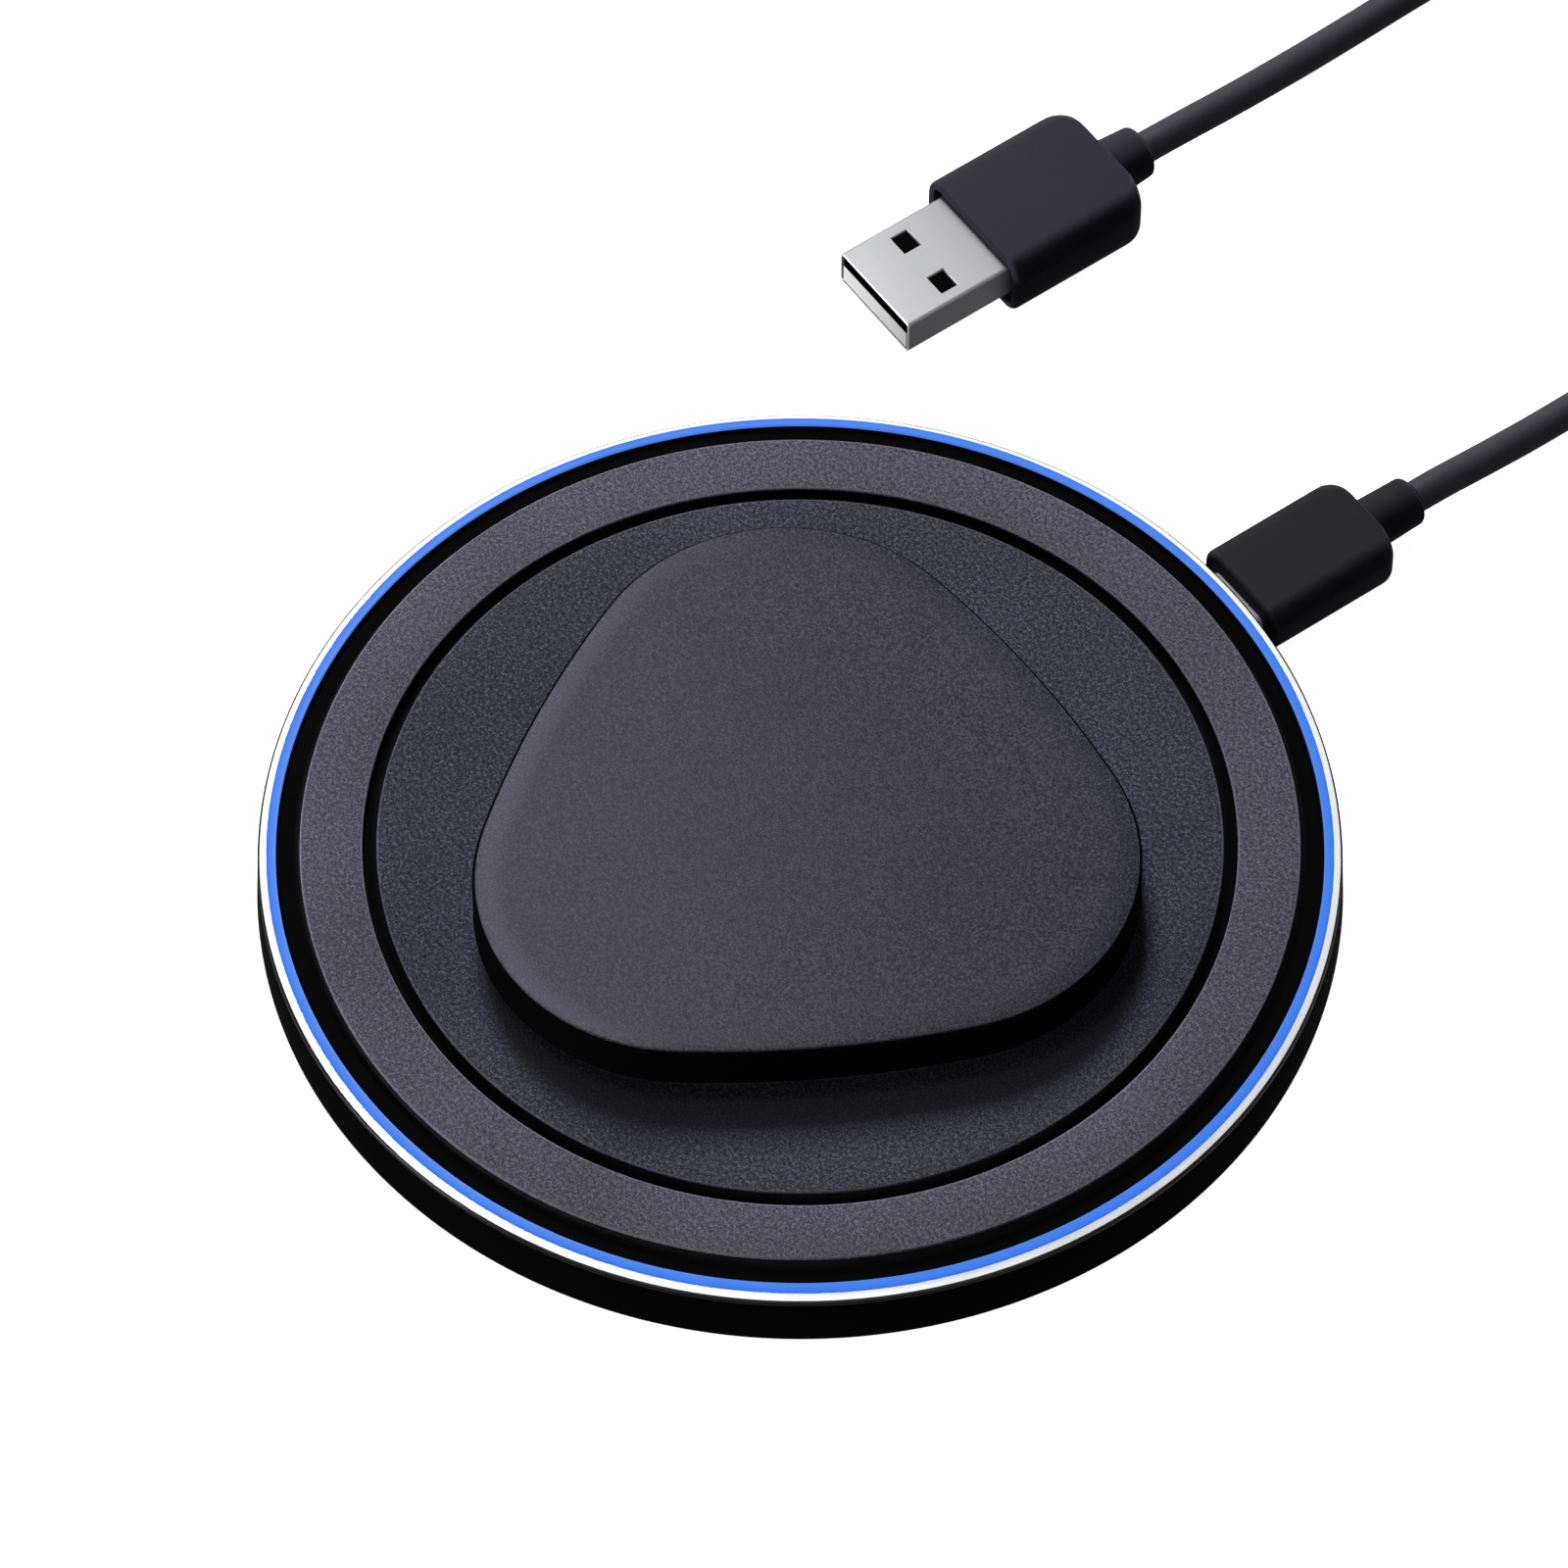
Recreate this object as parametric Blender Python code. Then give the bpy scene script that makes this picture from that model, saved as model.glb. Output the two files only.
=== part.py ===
"""Round wireless charging pad with its USB cable, as separate named pieces.

Frame: the origin is on the surface that the pad stands on, under its centre. +Z is up, and the
cable leaves the pad along +Y. All lengths are metres; MM turns millimetres into metres.
"""

import math

import bmesh
import bpy
import numpy as np

MM = 0.001

# Clearances.
GAP = 0.3 * MM
SOLDER_GAP = 0.1 * MM
PLUG_GAP = 0.25 * MM
WELD = 0.001 * MM
OVERSHOOT = 1.0 * MM

# Pad body, from the outside in.
PAD_RADIUS = 55.0 * MM
CASE_WALL = 1.1 * MM
CASE_FLOOR = 1.2 * MM
CASE_EDGE = 0.8 * MM
TRIM_INSET = 0.1 * MM
TRIM_WIDTH = 1.0 * MM
TRIM_FACE = 0.4 * MM
TRIM_EDGE = 0.3 * MM
LIGHT_RING_WIDTH = 0.65 * MM
TROUGH_WIDTH = 2.35 * MM
GRIP_RING_WIDTH = 6.6 * MM
GROOVE_WIDTH = 1.4 * MM
GRIP_EDGE = 0.2 * MM

# Heights, from the surface up.
FOOT_PROUD = 0.6 * MM
PORT_LIFT = 0.45 * MM
COVER_THICKNESS = 0.95 * MM
DECK_THICKNESS = 0.9 * MM
TRIM_DROP = 1.0 * MM
LIGHT_DROP = 0.6 * MM
WALL_DROP = 0.35 * MM

# Raised charging plateau: a three-sided outline of six tangent arcs, a flat side towards +Y. Its
# margin is the deck's width beside the middle of a side.
PLATEAU_RISE = 5.5 * MM
PLATEAU_MARGIN = 13.6 * MM
PLATEAU_SIDE_RADIUS = 112.0 * MM
PLATEAU_CORNER_OFFSET = 14.3 * MM
PLATEAU_WALL = 1.6 * MM
CAP_INSET = 0.3 * MM
CAP_THICKNESS = 0.7 * MM
CAP_EDGE = 0.4 * MM
SIDES = 3

# Charging coil and what carries it.
COIL_INNER_RADIUS = 10.0 * MM
COIL_THICKNESS = 1.3 * MM
FERRITE_MARGIN = 2.5 * MM
FERRITE_CLEARANCE = 3.4 * MM
FERRITE_THICKNESS = 0.8 * MM
FERRITE_EDGE = 0.1 * MM
THERMISTOR_RADIUS = 1.5 * MM
THERMISTOR_HEIGHT = 0.9 * MM
LEAD_DIAMETER = 1.2 * MM
LEAD_SPACING = 2.4 * MM
LEAD_HOLE_MARGIN = 0.8 * MM

# Circuit board and what is on it.
BOARD_THICKNESS = 0.8 * MM
BOARD_MARGIN = 3.9 * MM
BOARD_DROP = 1.3 * MM
CHIP_HEIGHT = 0.9 * MM
CONTROLLER_SIZE = 5.0 * MM
BRIDGE_SIZE = 4.0 * MM
BRIDGE_SPACING = 9.0 * MM
CAPACITOR_LENGTH = 4.5 * MM
CAPACITOR_WIDTH = 3.2 * MM
CAPACITOR_HEIGHT = 1.6 * MM
CAPACITOR_SPACING = 6.0 * MM
CAPACITORS = 4
INDUCTOR_SIZE = 6.0 * MM
INDUCTOR_HEIGHT = 1.8 * MM
LED_LENGTH = 3.0 * MM
LED_DEPTH = 1.4 * MM
LED_HEIGHT = 1.0 * MM
LEDS = 6

# Screws and the feet that hide them.
FASTENERS = 4
FASTENER_MARGIN = 12.0 * MM
FOOT_RADIUS = 5.0 * MM
FOOT_THICKNESS = 1.0 * MM
SCREW_RADIUS = 1.0 * MM
SCREW_LENGTH = 3.2 * MM
SCREW_HEAD_RADIUS = 1.9 * MM
SCREW_HEAD_HEIGHT = 0.7 * MM
DRIVE_RADIUS = 0.8 * MM
DRIVE_DEPTH = 0.4 * MM
BOSS_WALL = 1.0 * MM

# USB-C plug and receptacle, standard sizes. ROUND_END is a corner radius as a share of the height.
ROUND_END = 0.45
USB_C_WIDTH = 8.25 * MM
USB_C_THICKNESS = 2.4 * MM
USB_C_INSERTION = 6.65 * MM
USB_C_SHELL_WALL = 0.35 * MM
RECEPTACLE_WALL = 0.2 * MM
RECEPTACLE_LENGTH = 7.35 * MM
RECEPTACLE_RECESS = 0.4 * MM
TONGUE_WIDTH = 6.6 * MM
TONGUE_THICKNESS = 0.7 * MM
TONGUE_LENGTH = 4.5 * MM
TONGUE_BASE = 0.4 * MM

# USB-C overmold.
USB_C_GRIP_WIDTH = 12.0 * MM
USB_C_GRIP_THICKNESS = 6.3 * MM
USB_C_GRIP_LENGTH = 15.8 * MM
USB_C_GRIP_STANDOFF = 1.1 * MM
USB_C_STUB_RADIUS = 2.8 * MM
USB_C_STUB_LENGTH = 6.0 * MM

# USB-A plug, standard sizes, lying flat on the surface. Its tip's place is measured from the point
# of the pad's rim at the port.
USB_A_WIDTH = 12.0 * MM
USB_A_THICKNESS = 4.5 * MM
USB_A_EXPOSED = 12.7 * MM
USB_A_SHELL_WALL = 0.3 * MM
USB_A_WINDOW_WIDTH = 2.5 * MM
USB_A_WINDOW_LENGTH = 2.0 * MM
USB_A_WINDOW_SPACING = 6.5 * MM
USB_A_WINDOW_SETBACK = 6.4 * MM
USB_A_TONGUE_THICKNESS = 1.7 * MM
USB_A_CONTACTS = 4
USB_A_CONTACT_PITCH = 2.3 * MM
USB_A_CONTACT_WIDTH = 1.1 * MM
USB_A_CONTACT_LENGTH = 7.0 * MM
USB_A_CONTACT_THICKNESS = 0.2 * MM
USB_A_CONTACT_SETBACK = 1.2 * MM
USB_A_GRIP_WIDTH = 16.0 * MM
USB_A_GRIP_THICKNESS = 8.0 * MM
USB_A_GRIP_LENGTH = 17.6 * MM
USB_A_STUB_RADIUS = 3.0 * MM
USB_A_STUB_LENGTH = 4.5 * MM
USB_A_OFFSET = (-53.2 * MM, -6.9 * MM)

# Both overmolds.
GRIP_CORNER = 2.2 * MM
GRIP_FRONT_EDGE = 0.5 * MM
GRIP_BACK_EDGE = 1.8 * MM
SHELL_BURIED = 3.0 * MM
POCKET_GAP = 0.15 * MM

# Cord and its coil, whose place is measured from the rim at the port. The cord is 1.0 m long.
CORD_DIAMETER = 3.5 * MM
CORD_POINT_SPACING = 8.0 * MM
TURN_PITCH = 3.7 * MM
TURNS_PER_LAYER = 3
COIL_TURN_RADIUS = 28.0 * MM
COIL_OFFSET = (-26.6 * MM, 105.0 * MM)
COIL_MARGIN = 0.1 * MM
TIE_THICKNESS = 0.6 * MM
TIE_WIDTH = 4.0 * MM
TIE_HEAD = 3.0 * MM

# Points that the two free stretches of cord pass through, chosen by hand, in millimetres: X, the
# distance along Y from the rim at the port, and the free height under the cord.
LEAD_ROUTE = [
    (0.0, 27.0, 2.05),
    (-0.2, 33.0, 1.25),
    (-0.5, 40.0, 0.4),
    (-0.7, 48.0, 0.05),
    (-0.6, 57.0, 0.05),
    (-0.2, 67.0, 0.05),
    (0.5, 77.0, 0.25),
    (1.0, 84.0, 0.55),
]
LEAD_COIL_END = (1.2, 0.8)
TAIL_COIL_END = (-54.8, 3.5)
TAIL_ROUTE = [
    (-54.9, 83.0, 2.05),
    (-54.9, 75.0, 0.65),
    (-54.8, 66.0, 0.1),
    (-54.4, 57.0, 0.05),
    (-53.8, 48.0, 0.15),
    (-53.3, 41.0, 0.75),
    (-53.2, 35.0, 1.65),
    (-53.2, 31.0, 2.15),
]

# Mesh fineness.
STEPS = 60
SMALL_STEPS = 16
ARC_POINTS = 9
CORNER_POINTS = 4

# Values worked out from the ones above.
TRIM_OUTER = PAD_RADIUS - TRIM_INSET
TRIM_INNER = TRIM_OUTER - TRIM_WIDTH
LIGHT_OUTER = TRIM_INNER - GAP
LIGHT_INNER = LIGHT_OUTER - LIGHT_RING_WIDTH
COVER_RADIUS = LIGHT_INNER - GAP
GRIP_OUTER = LIGHT_INNER - TROUGH_WIDTH
GRIP_INNER = GRIP_OUTER - GRIP_RING_WIDTH
DECK_RADIUS = GRIP_INNER - GROOVE_WIDTH
PLATEAU_INRADIUS = DECK_RADIUS - PLATEAU_MARGIN

FLOOR_TOP = FOOT_PROUD + CASE_FLOOR
RECEPTACLE_WIDTH = USB_C_WIDTH + 2 * (PLUG_GAP + RECEPTACLE_WALL)
RECEPTACLE_HEIGHT = USB_C_THICKNESS + 2 * (PLUG_GAP + RECEPTACLE_WALL)
PORT_HEIGHT = FLOOR_TOP + PORT_LIFT + RECEPTACLE_HEIGHT / 2
COVER_BOTTOM = PORT_HEIGHT + RECEPTACLE_HEIGHT / 2 + GAP
COVER_TOP = COVER_BOTTOM + COVER_THICKNESS
DECK_BOTTOM = COVER_TOP + GAP
DECK_TOP = DECK_BOTTOM + DECK_THICKNESS
PLATEAU_TOP = DECK_TOP + PLATEAU_RISE
WALL_TOP = COVER_BOTTOM - WALL_DROP
TRIM_BOTTOM = WALL_TOP + GAP
BOARD_BOTTOM = PORT_HEIGHT - BOARD_DROP
BOARD_TOP = BOARD_BOTTOM + BOARD_THICKNESS
BOARD_RADIUS = PAD_RADIUS - CASE_WALL - BOARD_MARGIN
FASTENER_CIRCLE = BOARD_RADIUS - FASTENER_MARGIN
CHIP_BOTTOM = BOARD_TOP + SOLDER_GAP

CAP_BOTTOM = PLATEAU_TOP - CAP_THICKNESS
HOUSING_TOP = CAP_BOTTOM - GAP
FERRITE_RADIUS = PLATEAU_INRADIUS - PLATEAU_WALL - FERRITE_CLEARANCE
COIL_RADIUS = FERRITE_RADIUS - FERRITE_MARGIN
COIL_TOP = HOUSING_TOP - GAP
COIL_BOTTOM = COIL_TOP - COIL_THICKNESS
FERRITE_TOP = COIL_BOTTOM - GAP
FERRITE_BOTTOM = FERRITE_TOP - FERRITE_THICKNESS
CARRIER_TOP = FERRITE_BOTTOM - GAP
LEAD_POST = FERRITE_RADIUS + GAP + LEAD_DIAMETER + LEAD_HOLE_MARGIN

FOOT_RECESS_TOP = FOOT_THICKNESS + GAP
SCREW_HEAD_TOP = FOOT_RECESS_TOP + SCREW_HEAD_HEIGHT
HEAD_POCKET_TOP = SCREW_HEAD_TOP + GAP
BOSS_RADIUS = SCREW_HEAD_RADIUS + GAP + BOSS_WALL
CASE_BOSS_TOP = max(BOARD_TOP - GAP, HEAD_POCKET_TOP + BOSS_WALL / 2)
SCREW_TIP = SCREW_HEAD_TOP + SCREW_LENGTH

PORT_FACE = PAD_RADIUS - RECEPTACLE_RECESS
USB_C_GRIP_FRONT = PAD_RADIUS + USB_C_GRIP_STANDOFF
USB_C_GRIP_BACK = USB_C_GRIP_FRONT + USB_C_GRIP_LENGTH
USB_A_HEIGHT = USB_A_GRIP_THICKNESS / 2
USB_A_TIP = (USB_A_OFFSET[0], PAD_RADIUS + USB_A_OFFSET[1])
USB_A_GRIP_FRONT = USB_A_TIP[1] + USB_A_EXPOSED
USB_A_GRIP_BACK = USB_A_GRIP_FRONT + USB_A_GRIP_LENGTH
COIL_CENTRE = (COIL_OFFSET[0], PAD_RADIUS + COIL_OFFSET[1])
LAYER_PITCH = TURN_PITCH * math.sqrt(3) / 2
COIL_BASE = TIE_THICKNESS + GAP
COIL_OUTSIDE = COIL_TURN_RADIUS + CORD_DIAMETER / 2 + COIL_MARGIN


# Colour (linear), roughness and metallic value of each finish.
FINISHES = {
    "black_gloss_plastic": ((0.004, 0.004, 0.005), 0.3, 0.0),
    "black_matte_plastic": ((0.008, 0.008, 0.010), 0.55, 0.0),
    "grip_coating": ((0.100, 0.095, 0.125), 0.8, 0.0),
    "deck_coating": ((0.058, 0.056, 0.080), 0.8, 0.0),
    "polished_trim": ((0.900, 0.900, 0.890), 0.2, 1.0),
    "light_guide": ((0.050, 0.210, 0.900), 0.35, 0.0),
    "foot_rubber": ((0.020, 0.020, 0.020), 0.9, 0.0),
    "screw_steel": ((0.450, 0.450, 0.450), 0.35, 1.0),
    "copper_wire": ((0.720, 0.320, 0.160), 0.4, 1.0),
    "ferrite": ((0.050, 0.050, 0.055), 0.7, 0.0),
    "white_nylon": ((0.650, 0.650, 0.630), 0.6, 0.0),
    "circuit_laminate": ((0.010, 0.120, 0.050), 0.5, 0.0),
    "chip_epoxy": ((0.015, 0.015, 0.016), 0.6, 0.0),
    "capacitor_ceramic": ((0.420, 0.300, 0.180), 0.6, 0.0),
    "led_resin": ((0.800, 0.780, 0.650), 0.4, 0.0),
    "plug_steel": ((0.620, 0.620, 0.610), 0.3, 1.0),
    "contact_gold": ((0.900, 0.620, 0.250), 0.25, 1.0),
    "plug_insulator": ((0.750, 0.750, 0.740), 0.5, 0.0),
    "overmold_black": ((0.026, 0.025, 0.031), 0.6, 0.0),
    "overmold_grey": ((0.042, 0.041, 0.056), 0.6, 0.0),
    "cord_jacket": ((0.036, 0.034, 0.047), 0.5, 0.0),
    "tie_nylon": ((0.012, 0.012, 0.012), 0.6, 0.0),
}


def clear_scene():
    """Removes every object of the open file."""
    for obj in list(bpy.data.objects):
        bpy.data.objects.remove(obj, do_unlink=True)


def finish(name):
    """The Principled material of a finish, made the first time that it is asked for."""
    if name in bpy.data.materials:
        return bpy.data.materials[name]
    colour, roughness, metallic = FINISHES[name]
    material = bpy.data.materials.new(name)
    material.use_nodes = True
    shader = material.node_tree.nodes["Principled BSDF"]
    shader.inputs["Base Color"].default_value = (*colour, 1.0)
    shader.inputs["Roughness"].default_value = roughness
    shader.inputs["Metallic"].default_value = metallic
    return material


def mesh_object(name, shape, finish_name=None):
    """Turns a bmesh into an object. One with no finish is a helper, which isn't part of the model."""
    bmesh.ops.remove_doubles(shape, verts=shape.verts, dist=WELD)
    bmesh.ops.recalc_face_normals(shape, faces=shape.faces)
    mesh = bpy.data.meshes.new(name)
    shape.to_mesh(mesh)
    shape.free()
    mesh.shade_smooth()
    mesh.set_sharp_from_angle(angle=math.radians(30))
    obj = bpy.data.objects.new(name, mesh)
    bpy.context.scene.collection.objects.link(obj)
    if finish_name:
        mesh.materials.append(finish(finish_name))
    else:
        obj.hide_render = True
        obj.display_type = "WIRE"
    return obj


def turned(name, profile, finish_name=None, ring=False, steps=STEPS):
    """Turns (radius, height) points about the Z axis.

    A ring's outline is closed. Any other outline starts and ends on the axis.
    """
    shape = bmesh.new()
    points = [shape.verts.new((radius, 0, height)) for radius, height in profile]
    ends = points[1:] + points[:1] if ring else points[1:]
    edges = [shape.edges.new(pair) for pair in zip(points, ends)]
    bmesh.ops.spin(
        shape,
        geom=points + edges,
        cent=(0, 0, 0),
        axis=(0, 0, 1),
        angle=math.tau,
        steps=steps,
        use_merge=True,
    )
    return mesh_object(name, shape, finish_name)


def cylinder(name, radius, low, high, finish_name=None, steps=SMALL_STEPS):
    """A plain upright cylinder on the Z axis."""
    return turned(name, [(0, high), (radius, high), (radius, low), (0, low)], finish_name, steps=steps)


def bevel_rim(shape, axis, level, width):
    """Rounds the edges of an extruded shape that lie in one of its end faces."""
    if not width:
        return
    rim = [edge for edge in shape.edges if all(abs(v.co[axis] - level) < WELD for v in edge.verts)]
    bmesh.ops.bevel(shape, geom=rim, offset=width, segments=2, profile=0.5, affect="EDGES")


def extruded(name, outline, start, end, finish_name=None, axis=2, start_edge=0.0, end_edge=0.0):
    """Extrudes an outline along an axis (0, 1 or 2) from start to end, and rounds its end rims.

    The outline's two coordinates go to the two other axes, in X, Y, Z order.
    """
    shape = bmesh.new()
    corners = [np.insert(point, axis, start) for point in outline]
    face = shape.faces.new([shape.verts.new(corner) for corner in corners])
    grown = bmesh.ops.extrude_face_region(shape, geom=[face])["geom"]
    for item in grown:
        if isinstance(item, bmesh.types.BMVert):
            item.co[axis] = end
    bevel_rim(shape, axis, start, start_edge)
    bevel_rim(shape, axis, end, end_edge)
    return mesh_object(name, shape, finish_name)


def rectangle(width, height, radius=0.0, centre=(0.0, 0.0)):
    """Outline of a rectangle, whose corners are arcs where a radius is given."""
    arc = np.linspace(0, math.pi / 2, CORNER_POINTS) if radius else np.zeros(1)
    points = []
    for corner, (side_x, side_y) in enumerate([(1, 1), (-1, 1), (-1, -1), (1, -1)]):
        angle = arc + corner * math.pi / 2
        x = centre[0] + side_x * (width / 2 - radius) + radius * np.cos(angle)
        y = centre[1] + side_y * (height / 2 - radius) + radius * np.sin(angle)
        points.extend(zip(x, y))
    return points


def arc_points(centre, radius, middle, half_angle):
    """Points along an arc about a centre, its own last point left to the next arc."""
    angle = middle + np.linspace(-half_angle, half_angle, ARC_POINTS)[:-1]
    return list(zip(centre[0] + radius * np.cos(angle), centre[1] + radius * np.sin(angle)))


def plateau_outline(inset):
    """The plateau's outline, moved in by inset: three shallow sides and three round corners.

    Each side arc touches the corner arcs next to it, which sets the corners' radius.
    """
    side_offset = PLATEAU_SIDE_RADIUS - PLATEAU_INRADIUS
    reach_x = side_offset + PLATEAU_CORNER_OFFSET * math.cos(math.pi / SIDES)
    reach_y = PLATEAU_CORNER_OFFSET * math.sin(math.pi / SIDES)
    corner_radius = PLATEAU_SIDE_RADIUS - math.hypot(reach_x, reach_y)
    half_side = math.atan2(reach_y, reach_x)
    half_corner = math.pi / SIDES - half_side
    points = []
    for side in range(SIDES):
        normal = math.pi / 2 + side * math.tau / SIDES
        corner = normal + math.pi / SIDES
        side_centre = (-side_offset * math.cos(normal), -side_offset * math.sin(normal))
        corner_centre = (
            PLATEAU_CORNER_OFFSET * math.cos(corner),
            PLATEAU_CORNER_OFFSET * math.sin(corner),
        )
        points += arc_points(side_centre, PLATEAU_SIDE_RADIUS - inset, normal, half_side)
        points += arc_points(corner_centre, corner_radius - inset, corner, half_corner)
    return points


def boolean(obj, helper, operation):
    """Adds a Boolean modifier that keeps the exact solver."""
    modifier = obj.modifiers.new(f"{operation.lower()}_{helper.name}", "BOOLEAN")
    modifier.operation = operation
    modifier.object = helper


def cut(obj, helper):
    """Cuts a helper's shape out of an object."""
    boolean(obj, helper, "DIFFERENCE")


def join(obj, helper):
    """Joins a helper's shape to an object."""
    boolean(obj, helper, "UNION")


def around(count, radius, first_angle=0.0):
    """(x, y, angle) of equally spaced places on a circle."""
    for place in range(count):
        angle = first_angle + place * math.tau / count
        yield radius * math.cos(angle), radius * math.sin(angle), angle


def fastener_places():
    """(number, x, y) of each screw, boss and foot."""
    for number, (x, y, _) in enumerate(around(FASTENERS, FASTENER_CIRCLE, math.pi / FASTENERS), 1):
        yield number, x, y


def moved(obj, x, y, z=0.0):
    """Places an object and returns it."""
    obj.location = (x, y, z)
    return obj


def port_notch(name, low):
    """The cutter for the receptacle's way through a wall, open from low up to the trim ring."""
    half_width = RECEPTACLE_WIDTH / 2 + GAP
    back = PORT_FACE - RECEPTACLE_LENGTH - GAP
    front = PAD_RADIUS + OVERSHOOT
    outline = [(-half_width, back), (half_width, back), (half_width, front), (-half_width, front)]
    return extruded(name, outline, low, PORT_HEIGHT + RECEPTACLE_HEIGHT / 2 + GAP)


def make_bottom_case():
    """The black tray: floor, side wall, screw bosses, foot recesses and the port's opening."""
    inner = PAD_RADIUS - CASE_WALL
    profile = [
        (0, FLOOR_TOP),
        (inner, FLOOR_TOP),
        (inner, WALL_TOP),
        (PAD_RADIUS, WALL_TOP),
        (PAD_RADIUS, FOOT_PROUD + CASE_EDGE),
        (PAD_RADIUS - CASE_EDGE, FOOT_PROUD),
        (0, FOOT_PROUD),
    ]
    case = turned("bottom_case", profile, "black_gloss_plastic")
    foot_hole = FOOT_RADIUS + GAP
    head_hole = SCREW_HEAD_RADIUS + GAP
    shank_hole = SCREW_RADIUS + GAP
    hole = [
        (0, CASE_BOSS_TOP + OVERSHOOT),
        (shank_hole, CASE_BOSS_TOP + OVERSHOOT),
        (shank_hole, HEAD_POCKET_TOP),
        (head_hole, HEAD_POCKET_TOP),
        (head_hole, FOOT_RECESS_TOP),
        (foot_hole, FOOT_RECESS_TOP),
        (foot_hole, -OVERSHOOT),
        (0, -OVERSHOOT),
    ]
    for number, x, y in fastener_places():
        boss = cylinder(f"case_boss_{number}", BOSS_RADIUS, FLOOR_TOP - CASE_FLOOR / 4, CASE_BOSS_TOP)
        join(case, moved(boss, x, y))
    for number, x, y in fastener_places():
        cut(case, moved(turned(f"foot_and_screw_hole_{number}", hole, steps=SMALL_STEPS), x, y))
    cut(case, port_notch("case_port_notch", PORT_HEIGHT - RECEPTACLE_HEIGHT / 2 - GAP))


def make_rim():
    """The bright trim ring and the light guide ring inside it, whose tops slope up inwards."""
    trim_top = DECK_TOP - TRIM_DROP
    face_top = TRIM_BOTTOM + TRIM_FACE
    trim = [
        (TRIM_OUTER, TRIM_BOTTOM),
        (TRIM_OUTER, face_top),
        (TRIM_OUTER - TRIM_EDGE, face_top + TRIM_EDGE / 2),
        (TRIM_INNER, trim_top),
        (TRIM_INNER, TRIM_BOTTOM),
    ]
    turned("trim_ring", trim, "polished_trim", ring=True)
    light_top = DECK_TOP - LIGHT_DROP
    light = [
        (LIGHT_OUTER, FLOOR_TOP + GAP),
        (LIGHT_OUTER, (trim_top + light_top) / 2),
        (LIGHT_INNER, light_top),
        (LIGHT_INNER, FLOOR_TOP + GAP),
    ]
    ring = turned("light_ring", light, "light_guide", ring=True)
    cut(ring, port_notch("light_ring_notch", FLOOR_TOP - OVERSHOOT))


def make_top_cover():
    """The black inner cover, whose top shows as the trough and the groove, with screw bosses below."""
    profile = [(0, COVER_TOP), (COVER_RADIUS, COVER_TOP), (COVER_RADIUS, COVER_BOTTOM), (0, COVER_BOTTOM)]
    cover = turned("top_cover", profile, "black_gloss_plastic")
    boss_bottom = CASE_BOSS_TOP + GAP
    pilot_top = SCREW_TIP + GAP
    for number, x, y in fastener_places():
        boss = cylinder(f"cover_boss_{number}", BOSS_RADIUS, boss_bottom, COVER_BOTTOM + COVER_THICKNESS / 2)
        join(cover, moved(boss, x, y))
    for number, x, y in fastener_places():
        pilot = cylinder(f"pilot_hole_{number}", SCREW_RADIUS + GAP, boss_bottom - OVERSHOOT, pilot_top)
        cut(cover, moved(pilot, x, y))
    cut(cover, lead_hole("cover_lead_hole"))


def lead_hole(name):
    """The cutter for the oblong hole that the coil's leads come down through."""
    width = LEAD_SPACING + LEAD_DIAMETER + 2 * LEAD_HOLE_MARGIN
    height = LEAD_DIAMETER + 2 * LEAD_HOLE_MARGIN
    outline = rectangle(width, height, height / 3, (0, -LEAD_POST))
    return extruded(name, outline, 0, PLATEAU_TOP)


def make_deck():
    """The grip ring and the inner disc, which has an opening for the plateau."""
    edge = GRIP_EDGE
    grip = [
        (GRIP_OUTER, DECK_BOTTOM),
        (GRIP_OUTER, DECK_TOP - edge),
        (GRIP_OUTER - edge, DECK_TOP),
        (GRIP_INNER + edge, DECK_TOP),
        (GRIP_INNER, DECK_TOP - edge),
        (GRIP_INNER, DECK_BOTTOM),
    ]
    turned("grip_ring", grip, "grip_coating", ring=True)
    disc = [
        (0, DECK_TOP),
        (DECK_RADIUS - edge, DECK_TOP),
        (DECK_RADIUS, DECK_TOP - edge),
        (DECK_RADIUS, DECK_BOTTOM),
        (0, DECK_BOTTOM),
    ]
    deck = turned("deck_disc", disc, "deck_coating")
    cut(deck, extruded("plateau_opening", plateau_outline(-GAP), 0, PLATEAU_TOP))


def make_plateau():
    """The black wall of the plateau and the coated cap on top of it."""
    housing = extruded(
        "plateau_housing", plateau_outline(0), DECK_BOTTOM, HOUSING_TOP, "black_matte_plastic"
    )
    cut(housing, extruded("housing_hollow", plateau_outline(PLATEAU_WALL), 0, PLATEAU_TOP))
    extruded(
        "plateau_cap", plateau_outline(CAP_INSET), CAP_BOTTOM, PLATEAU_TOP, "deck_coating", end_edge=CAP_EDGE
    )


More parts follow.
